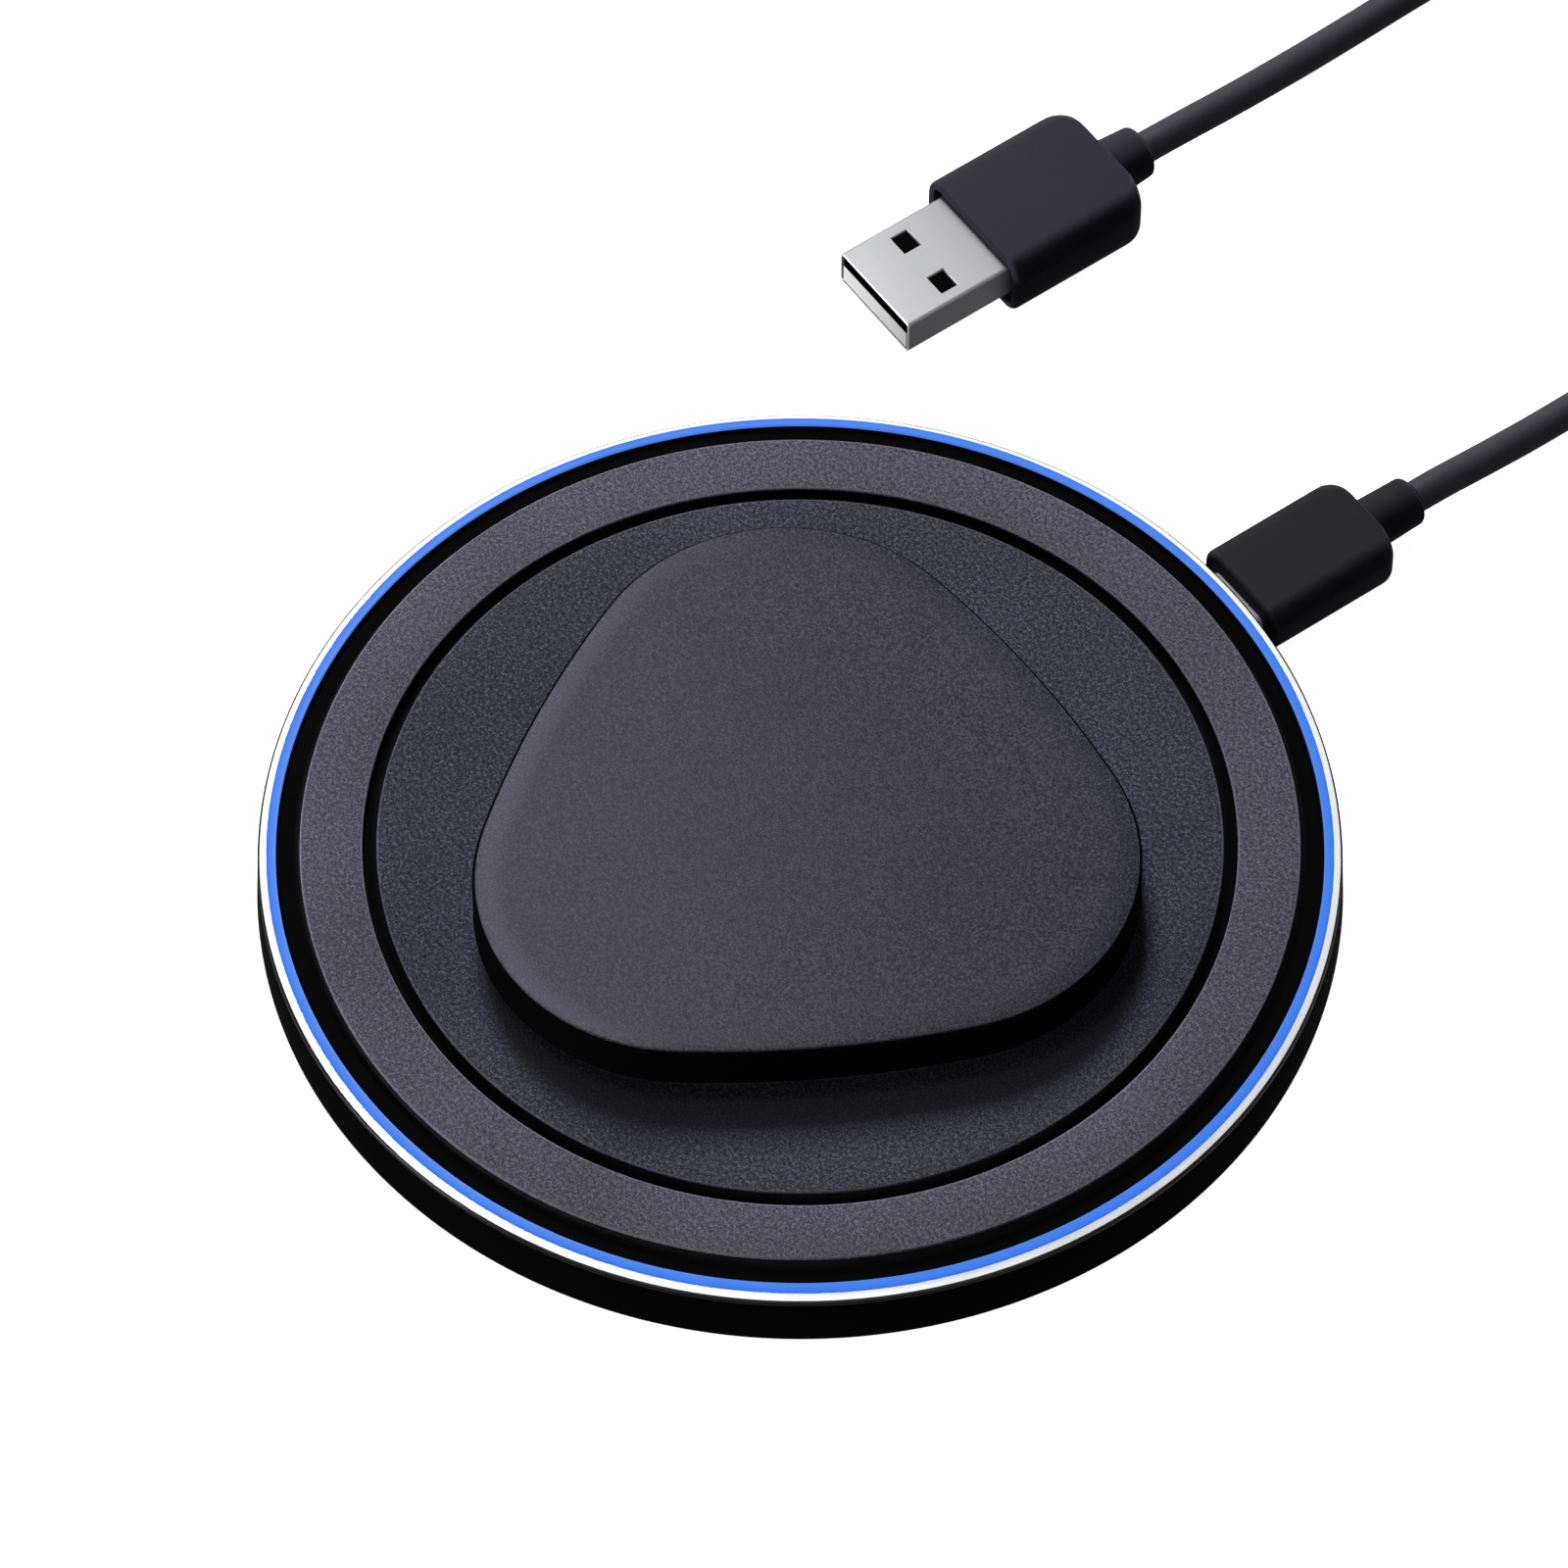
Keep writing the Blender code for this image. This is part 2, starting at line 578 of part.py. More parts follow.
def make_charging_coil():
    """The wound coil, its ferrite, the thermistor in the middle and the carrier below them."""
    coil = [
        (COIL_RADIUS, COIL_BOTTOM),
        (COIL_RADIUS, COIL_TOP),
        (COIL_INNER_RADIUS, COIL_TOP),
        (COIL_INNER_RADIUS, COIL_BOTTOM),
    ]
    turned("charging_coil", coil, "copper_wire", ring=True)
    ferrite = [
        (0, FERRITE_TOP),
        (FERRITE_RADIUS - FERRITE_EDGE, FERRITE_TOP),
        (FERRITE_RADIUS, FERRITE_TOP - FERRITE_EDGE),
        (FERRITE_RADIUS, FERRITE_BOTTOM),
        (0, FERRITE_BOTTOM),
    ]
    turned("ferrite_disc", ferrite, "ferrite")
    sensor_bottom = FERRITE_TOP + SOLDER_GAP
    cylinder(
        "thermistor", THERMISTOR_RADIUS, sensor_bottom, sensor_bottom + THERMISTOR_HEIGHT, "chip_epoxy"
    )
    carrier = extruded(
        "coil_carrier", plateau_outline(PLATEAU_WALL + GAP), DECK_BOTTOM, CARRIER_TOP, "white_nylon"
    )
    cut(carrier, lead_hole("carrier_lead_hole"))
    cut(carrier, cylinder("carrier_bore", COIL_INNER_RADIUS, 0, PLATEAU_TOP, steps=STEPS // 2))


def make_coil_leads():
    """Two insulated leads from the coil's edge, over the ferrite and down to the board."""
    start = COIL_RADIUS + GAP
    level = (COIL_TOP + COIL_BOTTOM) / 2
    bend = LEAD_DIAMETER
    lowest = BOARD_TOP + SOLDER_GAP
    for number, side in enumerate((-0.5, 0.5), 1):
        x = side * LEAD_SPACING
        route = [
            (x, -start, level),
            (x, -LEAD_POST + bend, level),
            (x, -LEAD_POST + bend / 3, level - bend / 3),
            (x, -LEAD_POST, level - bend),
            (x, -LEAD_POST, lowest),
        ]
        tube(f"coil_lead_{number}", route, LEAD_DIAMETER, "copper_wire")


def make_circuit_board():
    """The round board, with a notch for the receptacle and holes for the screw bosses."""
    profile = [(0, BOARD_TOP), (BOARD_RADIUS, BOARD_TOP), (BOARD_RADIUS, BOARD_BOTTOM), (0, BOARD_BOTTOM)]
    board = turned("circuit_board", profile, "circuit_laminate")
    for number, x, y in fastener_places():
        hole = cylinder(f"board_hole_{number}", BOSS_RADIUS + GAP, 0, PLATEAU_TOP)
        cut(board, moved(hole, x, y))
    cut(board, port_notch("board_notch", FLOOR_TOP - OVERSHOOT))


def block(name, width, depth, low, high, finish_name, place, turn=0.0):
    """A small rectangular component with a slight edge, turned by an angle about its middle."""
    edge = (high - low) / 10
    obj = extruded(name, rectangle(width, depth), low, high, finish_name, end_edge=edge)
    obj.location = (*place, 0.0)
    obj.rotation_euler = (0, 0, turn)
    return obj


def make_board_components():
    """Controller, bridge chips, resonant capacitors and inductor, in rows behind the receptacle."""
    chip_top = CHIP_BOTTOM + CHIP_HEIGHT
    row = PORT_FACE - RECEPTACLE_LENGTH - GAP - CONTROLLER_SIZE - BRIDGE_SIZE
    size = CONTROLLER_SIZE
    block("controller_chip", size, size, CHIP_BOTTOM, chip_top, "chip_epoxy", (0, row))
    size = BRIDGE_SIZE
    for number, side in enumerate((-1, 1), 1):
        place = (side * BRIDGE_SPACING, row)
        block(f"bridge_chip_{number}", size, size, CHIP_BOTTOM, chip_top, "chip_epoxy", place)
    size = INDUCTOR_SIZE
    inductor_row = row - CONTROLLER_SIZE - INDUCTOR_SIZE
    inductor_top = CHIP_BOTTOM + INDUCTOR_HEIGHT
    block("power_inductor", size, size, CHIP_BOTTOM, inductor_top, "ferrite", (0, inductor_row))
    capacitor_row = inductor_row - INDUCTOR_SIZE - CAPACITOR_LENGTH
    for number in range(CAPACITORS):
        place = ((number - (CAPACITORS - 1) / 2) * CAPACITOR_SPACING, capacitor_row)
        block(
            f"resonant_capacitor_{number + 1}",
            CAPACITOR_WIDTH,
            CAPACITOR_LENGTH,
            CHIP_BOTTOM,
            CHIP_BOTTOM + CAPACITOR_HEIGHT,
            "capacitor_ceramic",
            place,
        )


def make_leds():
    """Side-firing lights at the board's edge, which shine into the light ring."""
    radius = BOARD_RADIUS - LED_DEPTH / 2
    for number, (x, y, angle) in enumerate(around(LEDS, radius), 1):
        top = CHIP_BOTTOM + LED_HEIGHT
        block(f"led_{number}", LED_DEPTH, LED_LENGTH, CHIP_BOTTOM, top, "led_resin", (x, y), angle)


def make_screws_and_feet():
    """A screw in each boss, with a hexagonal drive, and a rubber foot that covers it."""
    screw = [
        (0, SCREW_TIP),
        (SCREW_RADIUS / 2, SCREW_TIP),
        (SCREW_RADIUS, SCREW_TIP - SCREW_RADIUS / 2),
        (SCREW_RADIUS, SCREW_HEAD_TOP),
        (SCREW_HEAD_RADIUS, SCREW_HEAD_TOP),
        (SCREW_HEAD_RADIUS, FOOT_RECESS_TOP + SCREW_HEAD_HEIGHT / 3),
        (SCREW_HEAD_RADIUS - SCREW_HEAD_HEIGHT / 3, FOOT_RECESS_TOP),
        (0, FOOT_RECESS_TOP),
    ]
    edge = FOOT_PROUD / 2
    foot = [
        (0, FOOT_THICKNESS),
        (FOOT_RADIUS, FOOT_THICKNESS),
        (FOOT_RADIUS, edge),
        (FOOT_RADIUS - edge, 0),
        (0, 0),
    ]
    for number, x, y in fastener_places():
        part = moved(turned(f"screw_{number}", screw, "screw_steel", steps=SMALL_STEPS), x, y)
        low = FOOT_RECESS_TOP - OVERSHOOT
        high = FOOT_RECESS_TOP + DRIVE_DEPTH
        cut(part, moved(cylinder(f"screw_drive_{number}", DRIVE_RADIUS, low, high, steps=6), x, y))
        moved(turned(f"foot_{number}", foot, "foot_rubber", steps=STEPS // 3), x, y)


def make_receptacle():
    """The USB-C receptacle: a metal shell, and the insulator with the tongue that enters the plug."""
    back = PORT_FACE - RECEPTACLE_LENGTH
    centre = (0, PORT_HEIGHT)
    outer = rectangle(RECEPTACLE_WIDTH, RECEPTACLE_HEIGHT, RECEPTACLE_HEIGHT * ROUND_END, centre)
    inner_width = RECEPTACLE_WIDTH - 2 * RECEPTACLE_WALL
    inner_height = RECEPTACLE_HEIGHT - 2 * RECEPTACLE_WALL
    inner = rectangle(inner_width, inner_height, inner_height * ROUND_END, centre)
    shell = extruded("usb_c_receptacle_shell", outer, back, PORT_FACE, "plug_steel", axis=1)
    mouth = extruded("receptacle_mouth", inner, back - OVERSHOOT, PORT_FACE + OVERSHOOT, axis=1)
    cut(shell, mouth)
    base = rectangle(inner_width - 2 * GAP, inner_height - 2 * GAP, inner_height / 3, centre)
    base_end = back + TONGUE_BASE
    insulator = extruded("usb_c_receptacle_tongue", base, back, base_end, "chip_epoxy", axis=1)
    tongue = rectangle(TONGUE_WIDTH, TONGUE_THICKNESS, centre=centre)
    tongue_end = base_end + TONGUE_LENGTH
    join(insulator, extruded("tongue_blade", tongue, back + TONGUE_BASE / 2, tongue_end, axis=1))


def overmold(name, finish_name, size, span, centre, stub, pocket):
    """A plug's grip with its strain relief stub, and the pocket that the metal shell sits in.

    size is (width, thickness), span is (front, back) along Y, centre is (x, z), stub is
    (radius, length) and pocket is the (width, thickness, corner radius) of the shell.
    """
    front, back = span
    grip = extruded(
        name,
        rectangle(*size, GRIP_CORNER, centre),
        front,
        back,
        finish_name,
        axis=1,
        start_edge=GRIP_FRONT_EDGE,
        end_edge=GRIP_BACK_EDGE,
    )
    radius, length = stub
    angle = np.linspace(0, math.tau, SMALL_STEPS, endpoint=False)
    circle = list(zip(centre[0] + radius * np.cos(angle), centre[1] + radius * np.sin(angle)))
    root = back - GRIP_BACK_EDGE
    join(grip, extruded(f"{name}_stub", circle, root, back + length, axis=1, end_edge=GRIP_FRONT_EDGE))
    width, thickness, corner = pocket
    outline = rectangle(
        width + 2 * POCKET_GAP, thickness + 2 * POCKET_GAP, corner + POCKET_GAP, centre
    )
    cut(grip, extruded(f"{name}_pocket", outline, front - OVERSHOOT, front + SHELL_BURIED + GAP, axis=1))


def make_usb_c_plug():
    """The USB-C plug: its round-ended metal shell, which enters the receptacle, and its grip."""
    centre = (0, PORT_HEIGHT)
    thickness = USB_C_THICKNESS
    outer = rectangle(USB_C_WIDTH, thickness, thickness * ROUND_END, centre)
    inner_width = USB_C_WIDTH - 2 * USB_C_SHELL_WALL
    inner_thickness = thickness - 2 * USB_C_SHELL_WALL
    inner = rectangle(inner_width, inner_thickness, inner_thickness * ROUND_END, centre)
    tip = PORT_FACE + GAP - USB_C_INSERTION
    end = USB_C_GRIP_FRONT + SHELL_BURIED
    shell = extruded("usb_c_plug_shell", outer, tip, end, "plug_steel", axis=1)
    cut(shell, extruded("usb_c_plug_mouth", inner, tip - OVERSHOOT, end + OVERSHOOT, axis=1))
    overmold(
        "usb_c_overmold",
        "overmold_black",
        (USB_C_GRIP_WIDTH, USB_C_GRIP_THICKNESS),
        (USB_C_GRIP_FRONT, USB_C_GRIP_BACK),
        centre,
        (USB_C_STUB_RADIUS, USB_C_STUB_LENGTH),
        (USB_C_WIDTH, thickness, thickness * ROUND_END),
    )


def make_usb_a_plug():
    """The USB-A plug: metal shell with windows, insulating tongue with contacts, and its grip."""
    x, tip = USB_A_TIP
    centre = (x, USB_A_HEIGHT)
    end = USB_A_GRIP_FRONT + SHELL_BURIED
    inner_width = USB_A_WIDTH - 2 * USB_A_SHELL_WALL
    inner_thickness = USB_A_THICKNESS - 2 * USB_A_SHELL_WALL
    outer = rectangle(USB_A_WIDTH, USB_A_THICKNESS, USB_A_SHELL_WALL, centre)
    shell = extruded("usb_a_shell", outer, tip, end, "plug_steel", axis=1)
    mouth = rectangle(inner_width, inner_thickness, centre=centre)
    cut(shell, extruded("usb_a_mouth", mouth, tip - OVERSHOOT, end + OVERSHOOT, axis=1))
    for number, side in enumerate((-0.5, 0.5), 1):
        place = (x + side * USB_A_WINDOW_SPACING, tip + USB_A_WINDOW_SETBACK)
        window = rectangle(USB_A_WINDOW_WIDTH, USB_A_WINDOW_LENGTH, centre=place)
        cut(shell, extruded(f"usb_a_window_{number}", window, 0, USB_A_GRIP_THICKNESS))
    low = USB_A_HEIGHT - inner_thickness / 2 + GAP
    high = low + USB_A_TONGUE_THICKNESS
    tongue = rectangle(inner_width - 2 * GAP, high - low, centre=(x, (low + high) / 2))
    extruded("usb_a_tongue", tongue, tip + GAP, end, "plug_insulator", axis=1)
    contact_low = high + SOLDER_GAP
    contact_high = contact_low + USB_A_CONTACT_THICKNESS
    contact_tip = tip + GAP + USB_A_CONTACT_SETBACK
    for number in range(USB_A_CONTACTS):
        middle = x + (number - (USB_A_CONTACTS - 1) / 2) * USB_A_CONTACT_PITCH
        place = (middle, (contact_low + contact_high) / 2)
        strip = rectangle(USB_A_CONTACT_WIDTH, contact_high - contact_low, centre=place)
        contact_end = contact_tip + USB_A_CONTACT_LENGTH
        extruded(f"usb_a_contact_{number + 1}", strip, contact_tip, contact_end, "contact_gold", axis=1)
    overmold(
        "usb_a_overmold",
        "overmold_grey",
        (USB_A_GRIP_WIDTH, USB_A_GRIP_THICKNESS),
        (USB_A_GRIP_FRONT, USB_A_GRIP_BACK),
        centre,
        (USB_A_STUB_RADIUS, USB_A_STUB_LENGTH),
        (USB_A_WIDTH, USB_A_THICKNESS, USB_A_SHELL_WALL),
    )


def smooth_curve(points, spacing):
    """Evenly spaced points on a smooth curve through the given ones (Catmull-Rom)."""
    known = np.asarray(points, float)
    padded = np.vstack([2 * known[0] - known[1], known, 2 * known[-1] - known[-2]])
    t = np.linspace(0, 1, 20, endpoint=False)[:, None]
    pieces = []
    for a, b, c, d in zip(padded, padded[1:], padded[2:], padded[3:]):
        bend = (2 * a - 5 * b + 4 * c - d) * t**2 + (3 * b - a - 3 * c + d) * t**3
        pieces.append(b + 0.5 * ((c - a) * t + bend))
    fine = np.vstack([*pieces, known[-1:]])
    run = np.concatenate([[0], np.cumsum(np.linalg.norm(np.diff(fine, axis=0), axis=1))])
    count = max(2, round(run[-1] / spacing) + 1)
    even = np.linspace(0, run[-1], count)
    return np.column_stack([np.interp(even, run, fine[:, axis]) for axis in range(3)])


def tube(name, points, diameter, finish_name):
    """A round tube with closed ends along a line of points."""
    curve = bpy.data.curves.new(name, "CURVE")
    curve.dimensions = "3D"
    curve.bevel_depth = diameter / 2
    curve.bevel_resolution = 2
    curve.use_fill_caps = True
    spline = curve.splines.new("POLY")
    spline.points.add(len(points) - 1)
    for point, place in zip(spline.points, points):
        point.co = (*place, 1.0)
    curve.materials.append(finish(finish_name))
    obj = bpy.data.objects.new(name, curve)
    bpy.context.scene.collection.objects.link(obj)
    return obj


def cord_places(route):
    """A route's points in metres, with the cord's middle half a diameter above its free height."""
    return [(x * MM, PAD_RADIUS + y * MM, height * MM + CORD_DIAMETER / 2) for x, y, height in route]


def coil_meeting(end):
    """Where a stretch of cord at X and a free height, running along Y, stops just short of the coil."""
    x, height = end
    across = abs(x * MM - COIL_CENTRE[0]) - CORD_DIAMETER / 2
    y = COIL_CENTRE[1] - math.sqrt(COIL_OUTSIDE**2 - across**2) - GAP
    return x * MM, y, height * MM + CORD_DIAMETER / 2


def make_cord():
    """The cord: a free stretch from each plug, the coil between them and the tie around it."""
    outer = COIL_OUTSIDE
    inner = COIL_TURN_RADIUS - (TURNS_PER_LAYER - 1) * TURN_PITCH - CORD_DIAMETER / 2 - COIL_MARGIN
    top = COIL_BASE + CORD_DIAMETER + LAYER_PITCH + COIL_MARGIN
    edge = CORD_DIAMETER / 3
    profile = [
        (outer, COIL_BASE + edge),
        (outer, top - edge),
        (outer - edge, top),
        (inner + edge, top),
        (inner, top - edge),
        (inner, COIL_BASE + edge),
        (inner + edge, COIL_BASE),
        (outer - edge, COIL_BASE),
    ]
    moved(turned("cord_coil", profile, "cord_jacket", ring=True, steps=STEPS // 2), *COIL_CENTRE)
    lead_start = (0, USB_C_GRIP_BACK + USB_C_STUB_LENGTH + GAP, PORT_HEIGHT)
    lead = [lead_start, *cord_places(LEAD_ROUTE), coil_meeting(LEAD_COIL_END)]
    tube("cord_lead", smooth_curve(lead, CORD_POINT_SPACING), CORD_DIAMETER, "cord_jacket")
    tail_end = (USB_A_TIP[0], USB_A_GRIP_BACK + USB_A_STUB_LENGTH + GAP, USB_A_HEIGHT)
    tail = [coil_meeting(TAIL_COIL_END), *cord_places(TAIL_ROUTE), tail_end]
    tube("cord_tail", smooth_curve(tail, CORD_POINT_SPACING), CORD_DIAMETER, "cord_jacket")
    make_tie(inner, outer, top)


def make_tie(inner, outer, top):
    """The releasable tie around the far side of the coil: a flat band with its locking head."""
    x, y = COIL_CENTRE
    hole_width = outer - inner + 2 * GAP
    hole_height = top - COIL_BASE + 2 * GAP
    centre = (y + (inner + outer) / 2, COIL_BASE - GAP + hole_height / 2)
    band = rectangle(hole_width + 2 * TIE_THICKNESS, hole_height + 2 * TIE_THICKNESS, GRIP_CORNER / 2, centre)
    start = x - TIE_WIDTH / 2
    end = x + TIE_WIDTH / 2
    tie = extruded("cable_tie", band, start, end, "tie_nylon", axis=0)
    face = centre[0] + hole_width / 2
    head_centre = (face + (TIE_THICKNESS + TIE_HEAD) / 2, centre[1])
    head = rectangle(TIE_HEAD + TIE_THICKNESS, TIE_WIDTH, TIE_THICKNESS / 2, head_centre)
    join(tie, extruded("tie_head", head, start - TIE_THICKNESS, end + TIE_THICKNESS, axis=0))
    hole = rectangle(hole_width, hole_height, centre=centre)
    cut(tie, extruded("tie_opening", hole, start - 2 * OVERSHOOT, end + 2 * OVERSHOOT, axis=0))


def main():
    """Builds the pad from the outside in, then its cable."""
    clear_scene()
    make_bottom_case()
    make_rim()
    make_top_cover()
    make_deck()
    make_plateau()
    make_charging_coil()
    make_coil_leads()
    make_circuit_board()
    make_board_components()
    make_leds()
    make_screws_and_feet()
    make_receptacle()
    make_usb_c_plug()
    make_usb_a_plug()
    make_cord()


main()
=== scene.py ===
"""Looks of a round wireless charging pad and its cable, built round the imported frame.

The origin is under the pad's centre on the surface that it stands on, +Z is up, and the cable
leaves along +Y. Fields hold millimetres, angles are degrees, and MM turns a finished grid of
points into metres.
"""

import logging
import math
from collections.abc import Sequence
from dataclasses import dataclass
from enum import Enum

import bpy
import numpy as np
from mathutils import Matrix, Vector


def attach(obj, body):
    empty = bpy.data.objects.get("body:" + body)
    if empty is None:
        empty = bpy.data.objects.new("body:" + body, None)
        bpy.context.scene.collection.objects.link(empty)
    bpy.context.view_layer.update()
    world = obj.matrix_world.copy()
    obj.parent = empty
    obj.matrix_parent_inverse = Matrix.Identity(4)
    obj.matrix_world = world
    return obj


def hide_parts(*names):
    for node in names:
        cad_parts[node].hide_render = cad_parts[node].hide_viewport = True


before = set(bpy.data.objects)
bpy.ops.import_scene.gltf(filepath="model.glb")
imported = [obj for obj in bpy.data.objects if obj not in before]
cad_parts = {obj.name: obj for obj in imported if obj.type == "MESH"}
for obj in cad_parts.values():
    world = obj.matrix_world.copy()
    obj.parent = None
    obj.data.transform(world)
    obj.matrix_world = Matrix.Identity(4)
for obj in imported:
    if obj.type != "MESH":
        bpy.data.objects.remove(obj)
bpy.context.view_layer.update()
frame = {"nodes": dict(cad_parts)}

MM = 0.001
SMOOTH_ANGLE = 32.0  # edges sharper than this many degrees stay sharp
ROUND_STEPS = 5  # points in a profile's rounded corner
NOISE_ROUGHNESS = 0.6
# Attribute of the edge mark: edges painted paler, as wear and as a painted highlight along them.
EDGE_WEAR_AND_HIGHLIGHT = "wear_and_highlight"
EDGE_WEAR_AND_HIGHLIGHT_ANGLES = (4.0, 12.0)  # degrees of lean where the edge mark, wear with a painted highlight, begins and where it is full
EDGE_WEAR_AND_HIGHLIGHT_AREA = 1.0  # square millimetres of the largest face that takes the edge mark
LOG = logging.getLogger("charging_pad")

Points = np.ndarray
Pair = tuple[float, float]
Triple = tuple[float, float, float]
Stops = tuple[tuple[float, str], ...]
Tree = bpy.types.NodeTree
Node = bpy.types.Node
Socket = bpy.types.NodeSocket
Mesh = bpy.types.Mesh
Piece = bpy.types.Object


class Body(Enum):
    """The frame's bodies."""

    PAD = "pad"
    CABLE = "cable"


class Along(Enum):
    """The axis that a shape is carried along: its sections lie across it."""

    Y = "y"
    X = "x"


# ---- Colour and shader helpers ----


def linear(code: str) -> tuple[float, float, float, float]:
    """Turns an sRGB hex code into linear RGBA, by the sRGB curve.

    Args:
        code: Six hex digits.

    Returns:
        Linear red, green and blue, and an alpha of one.
    """
    share = np.array([int(code[place : place + 2], 16) for place in (0, 2, 4)]) / 255
    curve = np.where(share <= 0.04045, share / 12.92, ((share + 0.055) / 1.055) ** 2.4)
    return (*(float(value) for value in curve), 1.0)


def add_node(
    tree: Tree,
    kind: str,
    inputs: dict[str | int, object] | Sequence[object] = (),
    stops: Stops = (),
    output: str | int = 0,
    **settings: object,
) -> Socket | None:
    """Adds a node, sets its properties, and fills or links its inputs.

    Args:
        tree: The node tree.
        kind: The node's type without ShaderNode.
        inputs: Values or the sockets that feed them, in order or by name or number.
        stops: (position, sRGB hex) of its colour ramp's stops.
        output: Which output is handed back.
        **settings: The node's own properties.

    Returns:
        The output, if it has any.
    """
    node = tree.nodes.new(f"ShaderNode{kind}")
    for name, value in settings.items():
        setattr(node, name, value)
    for name, value in inputs.items() if isinstance(inputs, dict) else enumerate(inputs):
        if isinstance(value, Socket):
            tree.links.new(value, node.inputs[name])
        else:
            node.inputs[name].default_value = value
    if stops:
        elements = node.color_ramp.elements
        for place, _ in stops[2:]:
            elements.new(place)
        for element, (place, code) in zip(elements, stops):
            element.position, element.color = place, linear(code)
    return node.outputs[output] if node.outputs else None


@dataclass(frozen=True)
class Finish:
    """A real material and how its surface was made."""

    name: str  # what it is and how it was made
    slot: str  # the record's material slot
    colours: Stops  # along the noise
    roughness: Pair = (0.4, 0.5)  # lowest and highest
    grain: float = 0.25  # size of the surface's grain
    bump: float = 0.004  # height of the grain
    metallic: float = 0.0
    specular: float = 0.5  # 0.5 is the plain value for the IOR
    ior: float | None = None  # a metal keeps Blender's default
    patches: float = 9.0  # size of the slow variation in colour
    edge: str = "8a8a90"  # colour that rubbed edges take, which also paints a highlight along them
    wear_and_highlight_share: float = 0.0  # how much of it shows

    def build(self) -> bpy.types.Material:
        """Makes the material once, and hands back the same one after that.

        Returns:
            The material.
        """
        found = bpy.data.materials.get(self.name)
        if found is not None:
            return found
        material = bpy.data.materials.new(self.name)
        material.use_nodes = True
        tree = material.node_tree
        tree.nodes.clear()
        fixed = {"Metallic": self.metallic, "Specular IOR Level": self.specular}
        if self.ior is not None:
            fixed["IOR"] = self.ior
        surface = add_node(tree, "BsdfPrincipled", fixed)
        self.dress(tree, add_node(tree, "TexCoord", output="Object"), surface.node)
        add_node(tree, "OutputMaterial", {"Surface": surface})
        return material

    def layers(self, tree: Tree, place: Socket, *layers: Pair) -> list[Socket]:
        """Lays noise of real sizes over the surface.

        Args:
            tree: The material's node tree.
            place: The coordinates.
            *layers: Feature size in millimetres and octaves of finer noise, for each layer.

        Returns:
            Each layer's value, from 0 to 1.
        """
        fixed = {"Vector": place, "Roughness": NOISE_ROUGHNESS}
        return [
            add_node(tree, "TexNoise", fixed | {"Scale": 1 / (size * MM), "Detail": detail})
            for size, detail in layers
        ]

    def dress(self, tree: Tree, place: Socket, shader: Node) -> None:
        """Lays fine grain over slow patches.

        Args:
            tree: The material's node tree.
            place: Object coordinates.
            shader: Its shader.
        """
        fine, slow = self.layers(tree, place, (self.grain, 2.0), (self.patches, 3.0))
        both = add_node(tree, "Math", (fine, slow), operation="ADD")
        half = add_node(tree, "Math", (both, 0.5), operation="MULTIPLY")
        self.paint(tree, shader, half, slow, (slow, 0.3, 0.7), fine)

    def paint(
        self,
        tree: Tree,
        shader: Node,
        share: Socket,
        patchy: Socket,
        dull: tuple[Socket, float, float],
        height: Socket,
    ) -> None:
        """Feeds colour, roughness and relief into the shader.

        The edge colour is mixed in where mark_wear_and_highlight found an edge, more in some
        patches: it is wear, and a painted highlight along the edges.

        Args:
            tree: The material's node tree.
            shader: The Principled shader.
            share: Place on the colour stops.
            patchy: Slow noise that breaks up the edge wear and painted edge highlight.
            dull: What sets the roughness, and its values for the lowest and the highest.
            height: The relief, from 0 to 1.
        """
        plain = add_node(tree, "ValToRGB", (share,), self.colours)
        wear_and_highlight = add_node(tree, "Attribute", output="Fac", attribute_name=EDGE_WEAR_AND_HIGHLIGHT)
        spread = (patchy, 0.35, 0.65, 0.5 * self.wear_and_highlight_share, self.wear_and_highlight_share)
        wear_and_highlight_patches = add_node(tree, "MapRange", spread)
        amount = add_node(tree, "Math", (wear_and_highlight, wear_and_highlight_patches), operation="MULTIPLY")
        mix = {0: amount, 6: plain, 7: linear(self.edge)}
        relief = {"Height": height, "Strength": 1.0, "Distance": self.bump * MM}
        feeds = {
            "Base Color": add_node(tree, "Mix", mix, output=2, data_type="RGBA"),
            "Roughness": add_node(tree, "MapRange", (*dull, *self.roughness)),
            "Normal": add_node(tree, "Bump", relief),
        }
        for name, feed in feeds.items():
            tree.links.new(feed, shader.inputs[name])


@dataclass(frozen=True)
class SpeckledCoating(Finish):
    """Soft-touch lacquer with fine metal flake."""

    flake: float = 0.34  # size of the flakes' cells, coarser than real flake so that it shows
    tint: str = "ffffff"  # colour of the lacquer's own shine

    def dress(self, tree: Tree, place: Socket, shader: Node) -> None:
        """Mixes two sizes of fleck over a slow drift, and lets the flecks stand a little proud.

        Args:
            tree: The material's node tree.
            place: Object coordinates.
            shader: Its shader.
        """
        shader.inputs["Specular Tint"].default_value = linear(self.tint)
        sizes = ((self.flake, 1.0), (self.grain, 0.0), (self.patches, 2.0))
        fleck, dust, slow = self.layers(tree, place, *sizes)
        fine = add_node(tree, "Math", (fleck, dust), operation="ADD")
        drift = add_node(tree, "MapRange", (slow, 0.3, 0.7, -0.05, 0.05))
        height = add_node(tree, "Math", (fine, drift), operation="ADD")
        share = add_node(tree, "MapRange", (height, 0.6, 1.4, 0.0, 1.0))
        self.paint(tree, shader, share, slow, (fleck, 0.3, 0.7), fleck)


